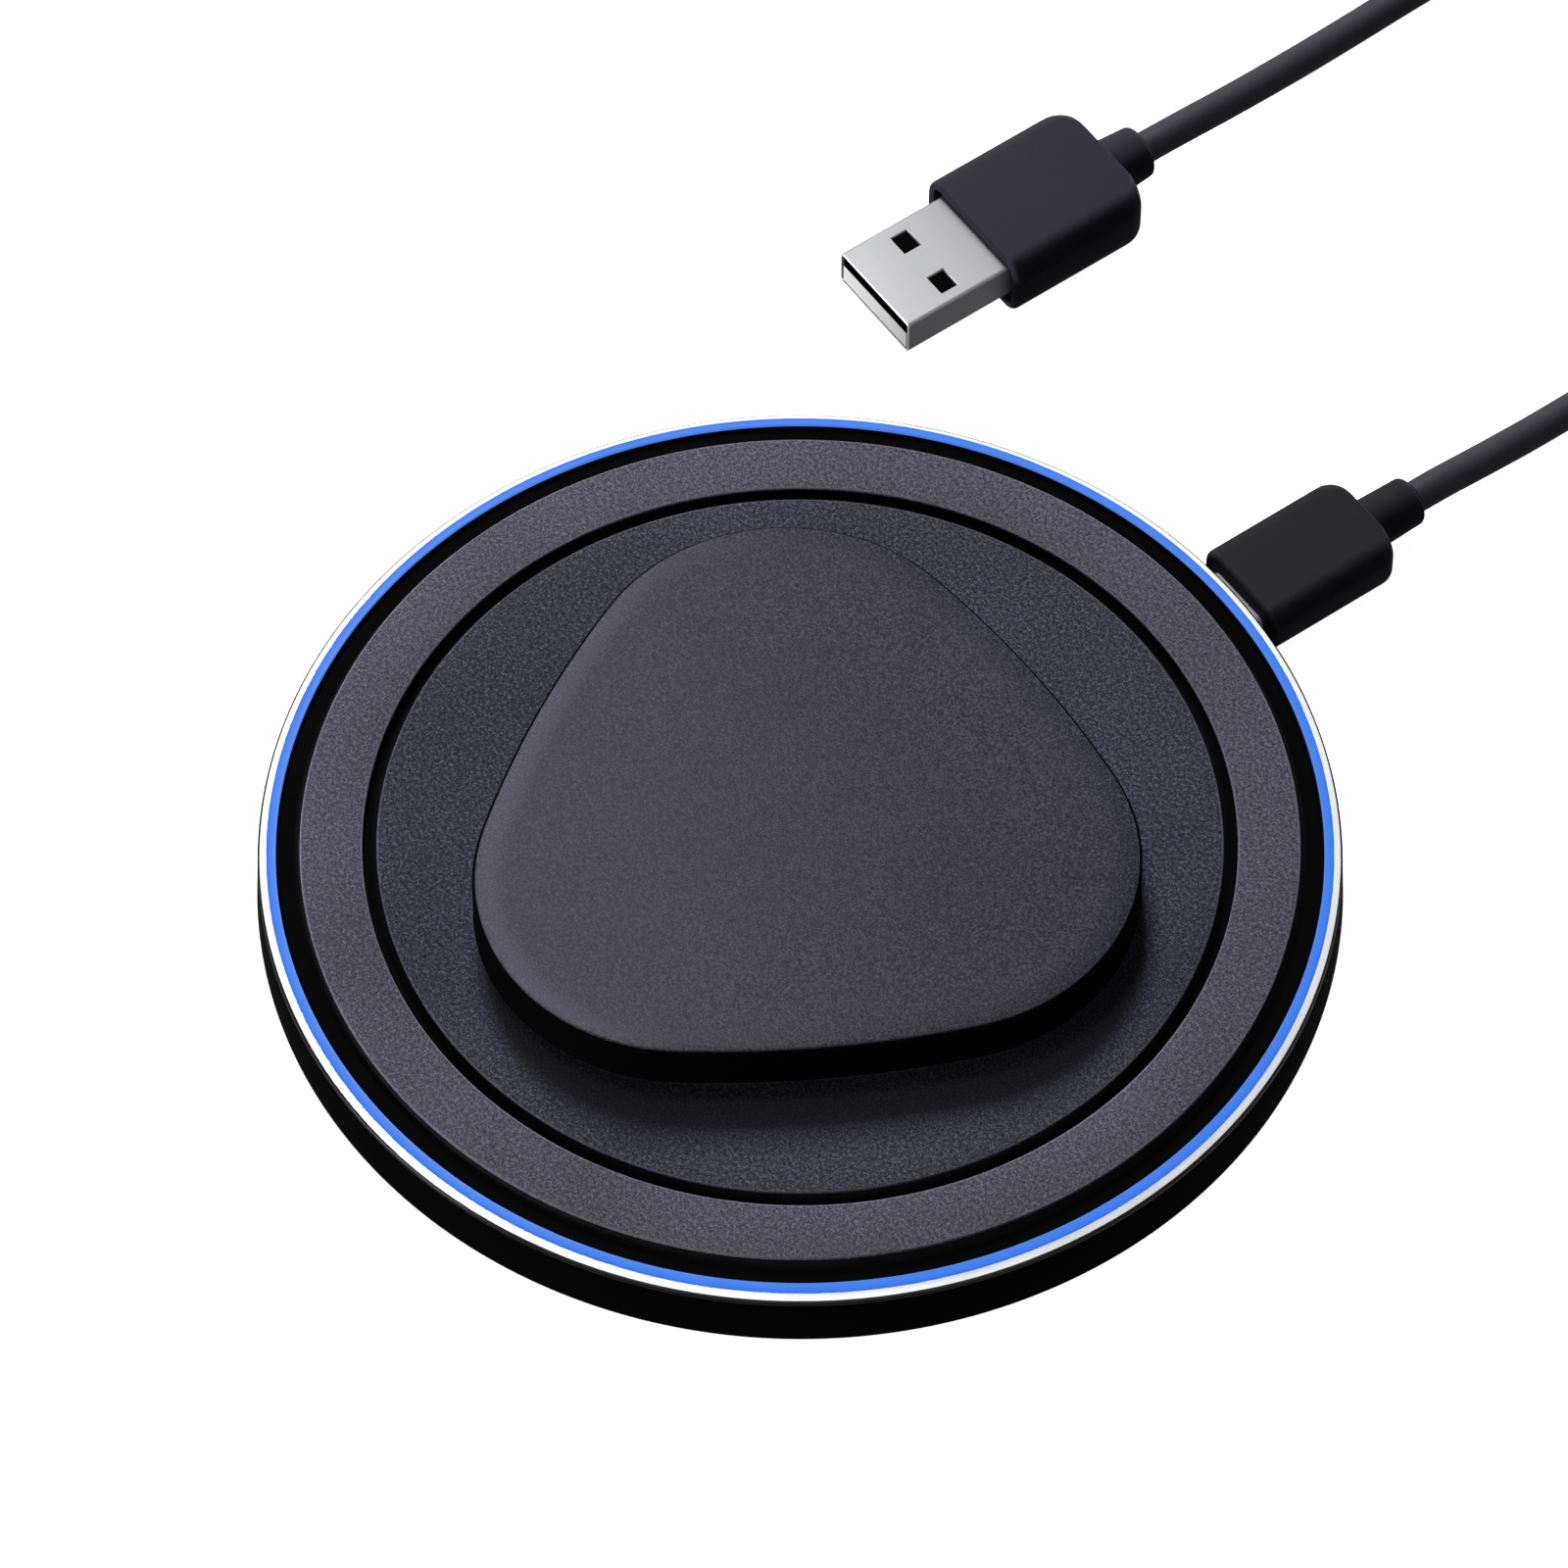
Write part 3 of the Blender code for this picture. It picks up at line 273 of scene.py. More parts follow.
@dataclass(frozen=True)
class DrawnMetal(Finish):
    """Sheet metal with the fine lines of rolling or polishing along one axis."""

    stretch: Triple = (1.0, 0.05, 1.0)  # scale of the pattern on each axis: small is long

    def dress(self, tree: Tree, place: Socket, shader: Node) -> None:
        """Stretches noise into lines, over slow patches of handling marks.

        Args:
            tree: The material's node tree.
            place: Object coordinates.
            shader: Its shader.
        """
        drawn = add_node(tree, "Mapping", {"Vector": place, "Scale": self.stretch})
        (lines,) = self.layers(tree, drawn, (self.grain, 3.0))
        (slow,) = self.layers(tree, place, (self.patches, 3.0))
        both = add_node(tree, "Math", (lines, slow), operation="ADD")
        half = add_node(tree, "Math", (both, 0.5), operation="MULTIPLY")
        self.paint(tree, shader, half, slow, (half, 0.35, 0.65), lines)


@dataclass(frozen=True)
class LitGuide(Finish):
    """Resin that carries light round the rim, tinted by the lamps behind it."""

    glow: Stops = ((0.0, "2f68cc"), (0.45, "347aee"), (1.0, "467ee0"))  # outer edge to inner
    strength: float = 1.0
    span: Pair = (53.8, 53.0)  # radii of the outer and inner edge

    def dress(self, tree: Tree, place: Socket, shader: Node) -> None:
        """Lights the resin, a little more at its inner edge, by the distance from the pad's axis.

        Args:
            tree: The material's node tree.
            place: Object coordinates.
            shader: Its shader.
        """
        flat = add_node(tree, "VectorMath", (place, (1.0, 1.0, 0.0)), operation="MULTIPLY")
        radius = add_node(tree, "VectorMath", (flat,), output="Value", operation="LENGTH")
        outer, inner = self.span
        across = add_node(tree, "MapRange", (radius, outer * MM, inner * MM, 0.0, 1.0))
        light = add_node(tree, "ValToRGB", (across,), self.glow)
        tree.links.new(light, shader.inputs["Emission Color"])
        shader.inputs["Emission Strength"].default_value = self.strength
        cloudy, fine = self.layers(tree, place, (self.patches, 2.0), (self.grain, 2.0))
        self.paint(tree, shader, cloudy, cloudy, (cloudy, 0.3, 0.7), fine)


# ---- Grid surfaces ----


def rounded(corners: Sequence[Triple], closed: bool = True) -> Points:
    """A profile whose corners are rounded.

    Each corner becomes a short quadratic curve that starts and ends its rounding's length away
    along the two sides. An open profile loses its end points: they only aim its first and last
    sides.

    Args:
        corners: (across, height, rounding) of each corner, in millimetres.
        closed: Whether the last corner joins the first.

    Returns:
        The profile's points, one row each.
    """
    table = np.array(corners, float)
    place, reach = table[:, :2], table[:, 2:]
    before = np.roll(place, 1, axis=0) - place
    after = np.roll(place, -1, axis=0) - place
    before /= np.linalg.norm(before, axis=1, keepdims=True)
    after /= np.linalg.norm(after, axis=1, keepdims=True)
    t = np.linspace(0, 1, ROUND_STEPS)[None, :, None]
    start = (place + before * reach)[:, None]
    end = (place + after * reach)[:, None]
    curve = (1 - t) ** 2 * start + 2 * t * (1 - t) * place[:, None] + t**2 * end
    return (curve if closed else curve[1:-1]).reshape(-1, 2)


def turned_rings(profile: Points, steps: int, centre: Pair = (0, 0)) -> Points:
    """Rings of a turned shape: x and y are the profile's radius times the angle's cosine and sine.

    Args:
        profile: (radius, height) rows.
        steps: Points round each ring.
        centre: The axis's place.

    Returns:
        Points in millimetres, by profile row and step.
    """
    angle = np.linspace(0, math.tau, steps, endpoint=False)
    radius, height = profile[:, :1], profile[:, 1:]
    x = centre[0] + radius * np.cos(angle)
    y = centre[1] + radius * np.sin(angle)
    return np.stack([x, y, np.broadcast_to(height, x.shape)], axis=-1)


def box_rings(
    table: Sequence[Sequence[float]], centre: Pair, along: Along = Along.Y, corner: int = 8
) -> Points:
    """Rings of rounded rectangles carried along an axis.

    Each ring is four quarter ellipses, whose centres stand one rounding in from the corners.

    Args:
        table: A row for each ring: place along the axis, width, height, and how far the rounding
            reaches across and up, in millimetres.
        centre: Across and up, of the axis.
        along: The axis.
        corner: Points in each quarter.

    Returns:
        Points in millimetres, by ring and by place round it.
    """
    place, width, height, reach_w, reach_h = np.asarray(table, float).T[:, :, None]
    quarter = np.linspace(0, math.pi / 2, corner)
    angle = (quarter[None, :] + np.arange(4)[:, None] * math.pi / 2).ravel()[None, :]
    side_w = np.repeat([1, -1, -1, 1], corner)[None, :]
    side_h = np.repeat([1, 1, -1, -1], corner)[None, :]
    across = centre[0] + side_w * (width / 2 - reach_w) + reach_w * np.cos(angle)
    up = centre[1] + side_h * (height / 2 - reach_h) + reach_h * np.sin(angle)
    run = np.broadcast_to(place, across.shape)
    return np.stack((across, run, up) if along is Along.Y else (run, across, up), axis=-1)


def skin(name: str, rings: Points, closed_across: bool = False) -> Mesh:
    """A closed mesh from a stack of rings, each joined to the next by four-sided faces.

    Where the stack isn't closed on itself, a fan to each end ring's middle closes it. The faces
    are turned outwards if the volume that they enclose comes out negative.

    Args:
        name: The mesh's name.
        rings: Points in millimetres, by ring and by place round it.
        closed_across: Whether the last ring joins the first.

    Returns:
        The mesh, in metres.
    """
    count, steps = rings.shape[:2]
    ring = np.arange(count if closed_across else count - 1)[:, None]
    step = np.arange(steps)[None, :]
    here, ahead, beside = ring * steps, (ring + 1) % count * steps, (step + 1) % steps
    quads = np.stack([here + step, here + beside, ahead + beside, ahead + step], axis=-1)
    quads = quads.reshape(-1, 4)
    points = rings.reshape(-1, 3)
    fans = np.zeros((0, 3), int)
    if not closed_across:
        first, last = np.arange(steps), (count - 1) * steps + np.arange(steps)
        start, end = len(points), len(points) + 1
        points = np.vstack([points, rings[0].mean(axis=0), rings[-1].mean(axis=0)])
        fan_start = np.stack([np.roll(first, -1), first, np.full(steps, start)], axis=-1)
        fan_end = np.stack([last, np.roll(last, -1), np.full(steps, end)], axis=-1)
        fans = np.vstack([fan_start, fan_end])
    triangles = np.vstack([quads[:, [0, 1, 2]], quads[:, [0, 2, 3]], fans])
    if np.linalg.det(points[triangles]).sum() < 0:
        quads, fans = quads[:, ::-1], fans[:, ::-1]
    mesh = bpy.data.meshes.new(name)
    mesh.from_pydata((points * MM).tolist(), [], [*quads.tolist(), *fans.tolist()])
    mesh.update()
    return mesh


def cut_with(mesh: Mesh, cutters: Sequence[Mesh]) -> Mesh:
    """Cuts closed meshes out of a mesh with exact Booleans, and keeps the result.

    Args:
        mesh: What is cut.
        cutters: What is taken away.

    Returns:
        The cut mesh, under the same name.
    """
    name = mesh.name
    target, *helpers = (bpy.data.objects.new(f"{name}_cut", each) for each in (mesh, *cutters))
    for helper in (target, *helpers):
        bpy.context.scene.collection.objects.link(helper)
    for helper in helpers:
        modifier = target.modifiers.new(helper.name, "BOOLEAN")
        modifier.operation, modifier.solver, modifier.object = "DIFFERENCE", "EXACT", helper
    graph = bpy.context.evaluated_depsgraph_get()
    result = bpy.data.meshes.new_from_object(target.evaluated_get(graph))
    for helper in (target, *helpers):
        bpy.data.objects.remove(helper)
    mesh.name = f"{name}_uncut"
    result.name = name
    return result


def mark_wear_and_highlight(mesh: Mesh) -> None:
    """Stores in the attribute EDGE_WEAR_AND_HIGHLIGHT how much each face corner is on an edge,
    from 0 to 1. The finishes paint edges paler there: wear, and a painted highlight along them.

    It is the largest angle between the point's normal and those of the faces that meet there,
    spread over EDGE_WEAR_AND_HIGHLIGHT_ANGLES. It is nothing where the point's neighbours lie
    above it on average, and on faces larger than EDGE_WEAR_AND_HIGHLIGHT_AREA, so that it never
    spreads over them.

    Args:
        mesh: The mesh.
    """
    place = np.empty((len(mesh.vertices), 3), np.float32)
    normal = np.empty_like(place)
    across = np.empty((len(mesh.polygons), 3), np.float32)
    area = np.empty(len(mesh.polygons), np.float32)
    corner = np.empty(len(mesh.loops), np.int32)
    sides = np.empty(len(mesh.polygons), np.int32)
    edges = np.empty((len(mesh.edges), 2), np.int32)
    mesh.vertices.foreach_get("co", place.ravel())
    mesh.vertex_normals.foreach_get("vector", normal.ravel())
    mesh.polygon_normals.foreach_get("vector", across.ravel())
    mesh.polygons.foreach_get("area", area)
    mesh.loops.foreach_get("vertex_index", corner)
    mesh.polygons.foreach_get("loop_total", sides)
    mesh.edges.foreach_get("vertices", edges.ravel())
    cosine = (normal[corner] * np.repeat(across, sides, axis=0)).sum(axis=1)
    lean = np.zeros(len(place))
    np.maximum.at(lean, corner, np.degrees(np.arccos(np.clip(cosine, -1, 1))))
    step = place[edges[:, 1]] - place[edges[:, 0]]
    rise = np.zeros(len(place))
    np.add.at(rise, edges[:, 0], (step * normal[edges[:, 0]]).sum(axis=1))
    np.add.at(rise, edges[:, 1], -(step * normal[edges[:, 1]]).sum(axis=1))
    low, high = EDGE_WEAR_AND_HIGHLIGHT_ANGLES
    wear_and_highlight = np.clip((lean - low) / (high - low), 0, 1) * (rise < 0)
    small = np.repeat(area < EDGE_WEAR_AND_HIGHLIGHT_AREA * MM**2, sides)
    layer = mesh.attributes.new(EDGE_WEAR_AND_HIGHLIGHT, "FLOAT", "CORNER")
    layer.data.foreach_set("value", (wear_and_highlight[corner] * small).astype(np.float32))


def add_piece(
    mesh: Mesh,
    finish: Finish,
    body: Body,
    replaced: Sequence[str] = (),
    smooth: float = SMOOTH_ANGLE,
) -> Piece:
    """Puts a mesh into the scene as a piece that rides on a body.

    Args:
        mesh: A closed mesh in place. Its name becomes the piece's.
        finish: Its finish.
        body: The body that it moves with.
        replaced: The frame's nodes that it stands for.
        smooth: Edges sharper than this many degrees stay sharp.

    Returns:
        The piece.
    """
    mesh.polygons.foreach_set("use_smooth", np.ones(len(mesh.polygons), bool))
    mesh.set_sharp_from_angle(angle=math.radians(smooth))
    mark_wear_and_highlight(mesh)
    mesh.materials.clear()
    mesh.materials.append(finish.build())
    piece = bpy.data.objects.new(mesh.name, mesh)
    bpy.context.scene.collection.objects.link(piece)
    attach(piece, body.value)
    if replaced:
        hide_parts(*replaced)
    LOG.info("%s: %d faces, %s", piece.name, len(mesh.polygons), finish.name)
    return piece


def add_ring(
    name: str, corners: Sequence[Triple], steps: int, finish: Finish, *replaced: str
) -> None:
    """Adds a piece of the pad that is turned from a closed profile.

    Args:
        name: The piece's name.
        corners: (radius, height, rounding) of each corner.
        steps: Points round it.
        finish: Its finish.
        *replaced: The frame's nodes that it stands for.
    """
    mesh = skin(name, turned_rings(rounded(corners), steps), closed_across=True)
    add_piece(mesh, finish, Body.PAD, replaced)


# ---- Finishes ----

# Moulded ABS in a deep matt black: it gives back almost nothing, so the trough, the groove and
# the side wall look like black lines between the bright parts.
CASE_ABS = Finish(
    "abs_moulded_deep_black", "black_gloss_plastic", ((0.35, "020202"), (0.65, "030304")),
    roughness=(0.58, 0.66), grain=0.2, bump=0.0015, specular=0.006, edge="2a2a2d", wear_and_highlight_share=0.3,
)
# The same plastic polished, for the case's upper edge: black from above, with a fine glint
# towards the outline.
LIP_ABS = Finish(
    "abs_polished_gloss_black", "black_gloss_plastic", ((0.35, "020202"), (0.65, "040404")),
    roughness=(0.22, 0.28), grain=0.2, bump=0.0005, specular=0.14,
)
# The same plastic spark eroded, for the plateau's wall and the liners: it drinks the light, so
# these parts look like shadow. In the large plug, its liner and the sheet on its tongue are
# painted shade: black sheets where there is only shadow.
WALL_AND_SHADE_ABS = Finish(
    "abs_spark_eroded_matt_black_and_painted_shade", "black_matte_plastic", ((0.35, "020202"), (0.65, "040405")),
    roughness=(0.65, 0.75), grain=0.15, bump=0.003, specular=0.006,
)
# The same plastic in charcoal satin, for the skirts under the coated parts: their slopes catch a
# little side light, which rounds the grooves off.
SKIRT_ABS = Finish(
    "abs_moulded_charcoal_satin", "black_matte_plastic", ((0.35, "0c0c0d"), (0.65, "111112")),
    roughness=(0.5, 0.6), grain=0.15, bump=0.003, specular=0.02,
)
# Soft-touch lacquer with violet-grey flake: the speckle reads as grip. Its flakes are coarser
# than real ones, so that they show at arm's length.
GRIP_LACQUER = SpeckledCoating(
    "soft_touch_lacquer_violet_grey_fleck", "grip_coating",
    ((0.0, "262430"), (0.5, "494655"), (1.0, "706e80")),
    roughness=(0.7, 0.85), grain=0.2, bump=0.012, specular=0.08, patches=24.0,
    edge="8d8b99", wear_and_highlight_share=0.45, flake=0.42,
)
# The same lacquer in a darker blue grey: the inner disc sits back behind the ring.
DECK_LACQUER = SpeckledCoating(
    "soft_touch_lacquer_slate_fleck", "deck_coating",
    ((0.0, "0c0c14"), (0.5, "31313d"), (1.0, "5b5b70")),
    roughness=(0.7, 0.85), grain=0.2, bump=0.012, specular=0.05, patches=24.0,
    edge="6c6c7a", wear_and_highlight_share=0.45, flake=0.42,
)
# The cap's lacquer is finer and silkier, so a soft light rolls across it from one side.
CAP_LACQUER = SpeckledCoating(
    "silk_lacquer_slate_fine_fleck", "deck_coating",
    ((0.0, "16161e"), (0.5, "2b2b34"), (1.0, "44444f")),
    roughness=(0.36, 0.4), grain=0.18, bump=0.004, specular=0.075, patches=30.0,
    edge="6a6a76", wear_and_highlight_share=0.2, flake=0.36, tint="cfc8e8",
)
# Bright-dipped anodised aluminium: nearly white, with a hair of turning lines. Half its light is
# scattered by the oxide, so it counts as half a metal.
TRIM_ALUMINIUM = DrawnMetal(
    "aluminium_bright_dipped_anodised", "polished_trim", ((0.3, "eeeff1"), (0.7, "fdfdfd")),
    roughness=(0.3, 0.4), grain=0.12, bump=0.0008, metallic=0.5, stretch=(1.0, 1.0, 0.3),
)
# Opal polycarbonate light guide: an even blue glow, a little paler along its inner edge.
GUIDE_PC = LitGuide(
    "opal_polycarbonate_lit_blue", "light_guide", ((0.3, "0a1838"), (0.7, "0d1f48")),
    roughness=(0.3, 0.4), grain=0.3, bump=0.001, specular=0.1, ior=1.58,
)
# Moulded silicone rubber: dull and slightly dusty, paler where it rubs on the table.
FOOT_SILICONE = Finish(
    "silicone_rubber_moulded_black", "foot_rubber", ((0.35, "18181a"), (0.65, "26262a")),
    roughness=(0.75, 0.9), grain=0.2, bump=0.008, specular=0.3, ior=1.41,
    edge="4a4a4e", wear_and_highlight_share=0.5,
)
# Zinc-plated steel: a cool grey glint at the bottom of the screw holes.
SCREW_ZINC = DrawnMetal(
    "steel_zinc_plated_screw", "screw_steel", ((0.3, "9c9ea1"), (0.7, "c3c5c8")),
    roughness=(0.3, 0.45), grain=0.1, bump=0.002, metallic=1.0,
)
# Enamelled copper wire: a warm orange sheen.
COIL_COPPER = DrawnMetal(
    "copper_wire_enamelled", "copper_wire", ((0.3, "9a4f24"), (0.7, "c9743a")),
    roughness=(0.28, 0.4), grain=0.3, bump=0.01, metallic=1.0, stretch=(1.0, 1.0, 1.0),
)
# Sintered ferrite: a dull stone-like dark grey.
FERRITE_SINTERED = Finish(
    "ferrite_sintered_dark_grey", "ferrite", ((0.3, "29292b"), (0.7, "3d3d40")),
    roughness=(0.55, 0.7), grain=0.2, bump=0.01,
)
# Unpigmented nylon: a soft warm white.
NYLON_WHITE = Finish(
    "nylon_moulded_natural_white", "white_nylon", ((0.3, "d9d7cf"), (0.7, "eceae3")),
    roughness=(0.45, 0.6), grain=0.3, bump=0.005, ior=1.53,
)
# Glass epoxy under solder mask: a deep green with the weave just showing.
BOARD_LAMINATE = Finish(
    "glass_epoxy_laminate_green_mask", "circuit_laminate", ((0.3, "0f4a2b"), (0.7, "17663a")),
    roughness=(0.3, 0.45), grain=0.5, bump=0.006, ior=1.52,
)
# Transfer-moulded epoxy: a fine sandy black.
CHIP_EPOXY = Finish(
    "epoxy_transfer_moulded_black", "chip_epoxy", ((0.3, "141416"), (0.7, "202023")),
    roughness=(0.5, 0.65), grain=0.12, bump=0.004, ior=1.55,
)
# Fired ceramic: a dry tan.
CAPACITOR_CERAMIC = Finish(
    "ceramic_fired_tan", "capacitor_ceramic", ((0.3, "8a7354"), (0.7, "a58c69")),
    roughness=(0.4, 0.55), grain=0.2, bump=0.003,
)
# Cast resin over the lamps: a milky gloss.
LED_RESIN = Finish(
    "led_resin_cast_white", "led_resin", ((0.3, "dfe3ea"), (0.7, "f3f5f8")),
    roughness=(0.2, 0.3), grain=0.3, bump=0.002, ior=1.54,
)
# Nickel-plated steel sheet, satin: a soft gradient, and cut edges that the edge mark paints nearly
# white, which is wear and a painted highlight.
PLUG_NICKEL = DrawnMetal(
    "steel_sheet_nickel_plated_satin", "plug_steel", ((0.3, "676769"), (0.7, "717173")),
    roughness=(0.6, 0.66), grain=0.16, bump=0.0012, metallic=1.0,
    edge="f2f2f4", wear_and_highlight_share=0.9, stretch=(1.0, 0.04, 1.0),
)
# Gold flash on bronze strip: small warm glints inside the plug's mouth.
CONTACT_GOLD = DrawnMetal(
    "phosphor_bronze_gold_plated", "contact_gold", ((0.3, "c9a14a"), (0.7, "e6c476")),
    roughness=(0.2, 0.3), grain=0.1, bump=0.001, metallic=1.0,
)
# Filled polyester in a clean white: the one bright face in the plug's mouth.
TONGUE_PBT = Finish(
    "pbt_moulded_white", "plug_insulator", ((0.3, "ececec"), (0.7, "fafafa")),
    roughness=(0.4, 0.5), grain=0.2, bump=0.002, ior=1.55,
)
# Thermoplastic elastomer over the large plug: a satin slate skin with a trace of moulding grain.
OVERMOLD_GREY = Finish(
    "tpe_overmould_satin_slate", "overmold_grey", ((0.35, "282731"), (0.65, "2e2d37")),
    roughness=(0.6, 0.68), grain=0.18, bump=0.004, specular=0.035, ior=1.5,
    edge="6e6e78", wear_and_highlight_share=0.25,
)
# The same elastomer in black over the small plug, so that it goes with the pad.
OVERMOLD_BLACK = Finish(
    "tpe_overmould_satin_black", "overmold_black", ((0.35, "1e1d22"), (0.65, "232227")),
    roughness=(0.6, 0.68), grain=0.18, bump=0.004, specular=0.035, ior=1.5,
    edge="606068", wear_and_highlight_share=0.3,
)
# Extruded elastomer: a slate cord whose satin skin takes one long soft highlight.
CORD_TPE = Finish(
    "tpe_extruded_satin_slate", "cord_jacket", ((0.35, "2b2a33"), (0.65, "33323c")),
    roughness=(0.5, 0.6), grain=0.3, bump=0.004, specular=0.12, ior=1.5,
)
# Black nylon: a slightly waxy tie.
TIE_NYLON = Finish(
    "nylon_tie_black", "tie_nylon", ((0.3, "1c1c1e"), (0.7, "2a2a2d")),
    roughness=(0.4, 0.5), grain=0.25, bump=0.004, ior=1.53,
)


# ---- The studio ----


@dataclass(frozen=True)
class Softbox:
    """A rectangular soft light that faces the pad's centre."""

    name: str
    turn: float  # from the camera's side, anticlockwise from above: 180 is behind the object
    rise: float  # degrees above the horizon
    distance: float  # metres
    size: Pair  # width and height in metres
    power: float  # watts
    in_mirrors: bool = True
    on_matt: bool = True


@dataclass(frozen=True)
class Studio:
    """Floor, lights and camera."""

    azimuth: float = 54.0  # of the camera round the object
    elevation: float = 55.15
    distance: float = 1.1  # metres from the pad's centre on the surface
    sensor: float = 36.0
    lens: float = 249.73
    aim: Triple = (-10.96, 5.92, 0.0)  # what is in the middle of the frame
    floor_size: float = 6.0  # metres
    floor_glow: float = 0.97
    # Strength of the room, the heights of its lowest and highest colour, and the colours: as a
    # light, and in mirrors, where it is white above the table's edge.
    lit_room: tuple[float, Pair, Stops] = (
        0.04, (-0.15, 0.35), ((0.0, "606062"), (1.0, "d8d8dc"))
    )
    mirrored_room: tuple[float, Pair, Stops] = (
        0.95, (-0.55, -0.2), ((0.0, "9a9a9c"), (1.0, "ffffff"))
    )
    lights: tuple[Softbox, ...] = (
        Softbox("key_softbox", 188, 36, 1.4, (0.38, 0.38), 31.6, in_mirrors=False),
        Softbox("sheen_softbox", 200, 46, 0.62, (0.17, 0.17), 3.4, on_matt=False),
        Softbox("band_softbox", 212, 66, 0.62, (0.09, 0.09), 4.5, on_matt=False),
        Softbox("overhead_softbox", 180, 86, 1.1, (1.2, 1.2), 0.25),
        Softbox("fill_softbox", 292, 2.6, 0.9, (0.4, 0.06), 8.0),
        Softbox("front_card", 0, 40, 0.8, (1.2, 0.5), 4.0, on_matt=False),
    )

    def direction(self, turn: float, rise: float) -> Vector:
        """Unit vector towards a place in the studio, as the camera sees it.

        Args:
            turn: Degrees from the camera's own side, anticlockwise from above.
            rise: Degrees above the horizon.

        Returns:
            The direction.
        """
        angle, height = math.radians(self.azimuth + turn), math.radians(rise)
        flat = math.cos(height)
        return Vector((math.sin(angle) * flat, -math.cos(angle) * flat, math.sin(height)))

    def build(self) -> None:
        """Makes the camera first, then the floor, the room and the lights."""
        self.add_camera()
        self.add_floor()
        self.add_world()
        for softbox in self.lights:
            self.add_light(softbox)
        LOG.info("studio: camera at %.1f, %.1f degrees", self.azimuth, self.elevation)

    def add_camera(self) -> None:
        """Aims the camera at the middle of the frame."""
        camera = bpy.data.cameras.new("camera")
        camera.sensor_width, camera.lens = self.sensor, self.lens
        camera.clip_start, camera.clip_end = 0.05, 20.0
        holder = bpy.data.objects.new("camera", camera)
        holder.location = self.direction(0, self.elevation) * self.distance
        look = Vector(self.aim) * MM - holder.location
        holder.rotation_euler = look.to_track_quat("-Z", "Y").to_euler()
        scene = bpy.context.scene
        scene.collection.objects.link(holder)
        scene.camera = holder
        scene.view_settings.view_transform = "Standard"

    def add_floor(self) -> None:
        """A pale glowing table, which shows no reflection of itself in the object."""
        half = self.floor_size / 2
        corners = [(-half, -half, 0), (half, -half, 0), (half, half, 0), (-half, half, 0)]
        mesh = bpy.data.meshes.new("studio_floor")
        mesh.from_pydata(corners, [], [(0, 1, 2, 3)])
        material = bpy.data.materials.new("light_table_opal_acrylic")
        material.use_nodes = True
        sockets = material.node_tree.nodes["Principled BSDF"].inputs
        sockets["Base Color"].default_value = linear("f4f4f4")
        sockets["Roughness"].default_value = 0.9
        sockets["Specular IOR Level"].default_value = 0.0
        sockets["Emission Color"].default_value = linear("ffffff")
        sockets["Emission Strength"].default_value = self.floor_glow
        mesh.materials.append(material)
        floor = bpy.data.objects.new("studio_floor", mesh)
        bpy.context.scene.collection.objects.link(floor)
        floor.visible_glossy = floor.visible_diffuse = False

    def add_world(self) -> None:
        """A room that is white to mirrors, grey under the table's edge, and dim as a light."""
        world = bpy.data.worlds.new("studio_room")
        world.use_nodes = True
        tree = world.node_tree
        tree.nodes.clear()
        place = add_node(tree, "TexCoord", output="Generated")
        height = add_node(tree, "SeparateXYZ", (place,), output="Z")
        looks = []
        for strength, heights, colours in (self.lit_room, self.mirrored_room):
            share = add_node(tree, "MapRange", (height, *heights, 0.0, 1.0))
            colour = add_node(tree, "ValToRGB", (share,), colours)
            looks.append(add_node(tree, "Background", (colour, strength)))
        glossy = add_node(tree, "LightPath", output="Is Glossy Ray")
        both = add_node(tree, "MixShader", (glossy, *looks))
        add_node(tree, "OutputWorld", {"Surface": both})
        bpy.context.scene.world = world

    def add_light(self, softbox: Softbox) -> None:
        """Adds a soft area light that faces the object.

        Args:
            softbox: What it is and where it stands.
        """
        light = bpy.data.lights.new(softbox.name, "AREA")
        light.shape, light.energy = "RECTANGLE", softbox.power
        light.size, light.size_y = softbox.size
        holder = bpy.data.objects.new(softbox.name, light)
        holder.location = self.direction(softbox.turn, softbox.rise) * softbox.distance
        holder.rotation_euler = (-holder.location).to_track_quat("-Z", "Y").to_euler()
        holder.visible_glossy, holder.visible_diffuse = softbox.in_mirrors, softbox.on_matt
        bpy.context.scene.collection.objects.link(holder)


# ---- The sub-assemblies ----


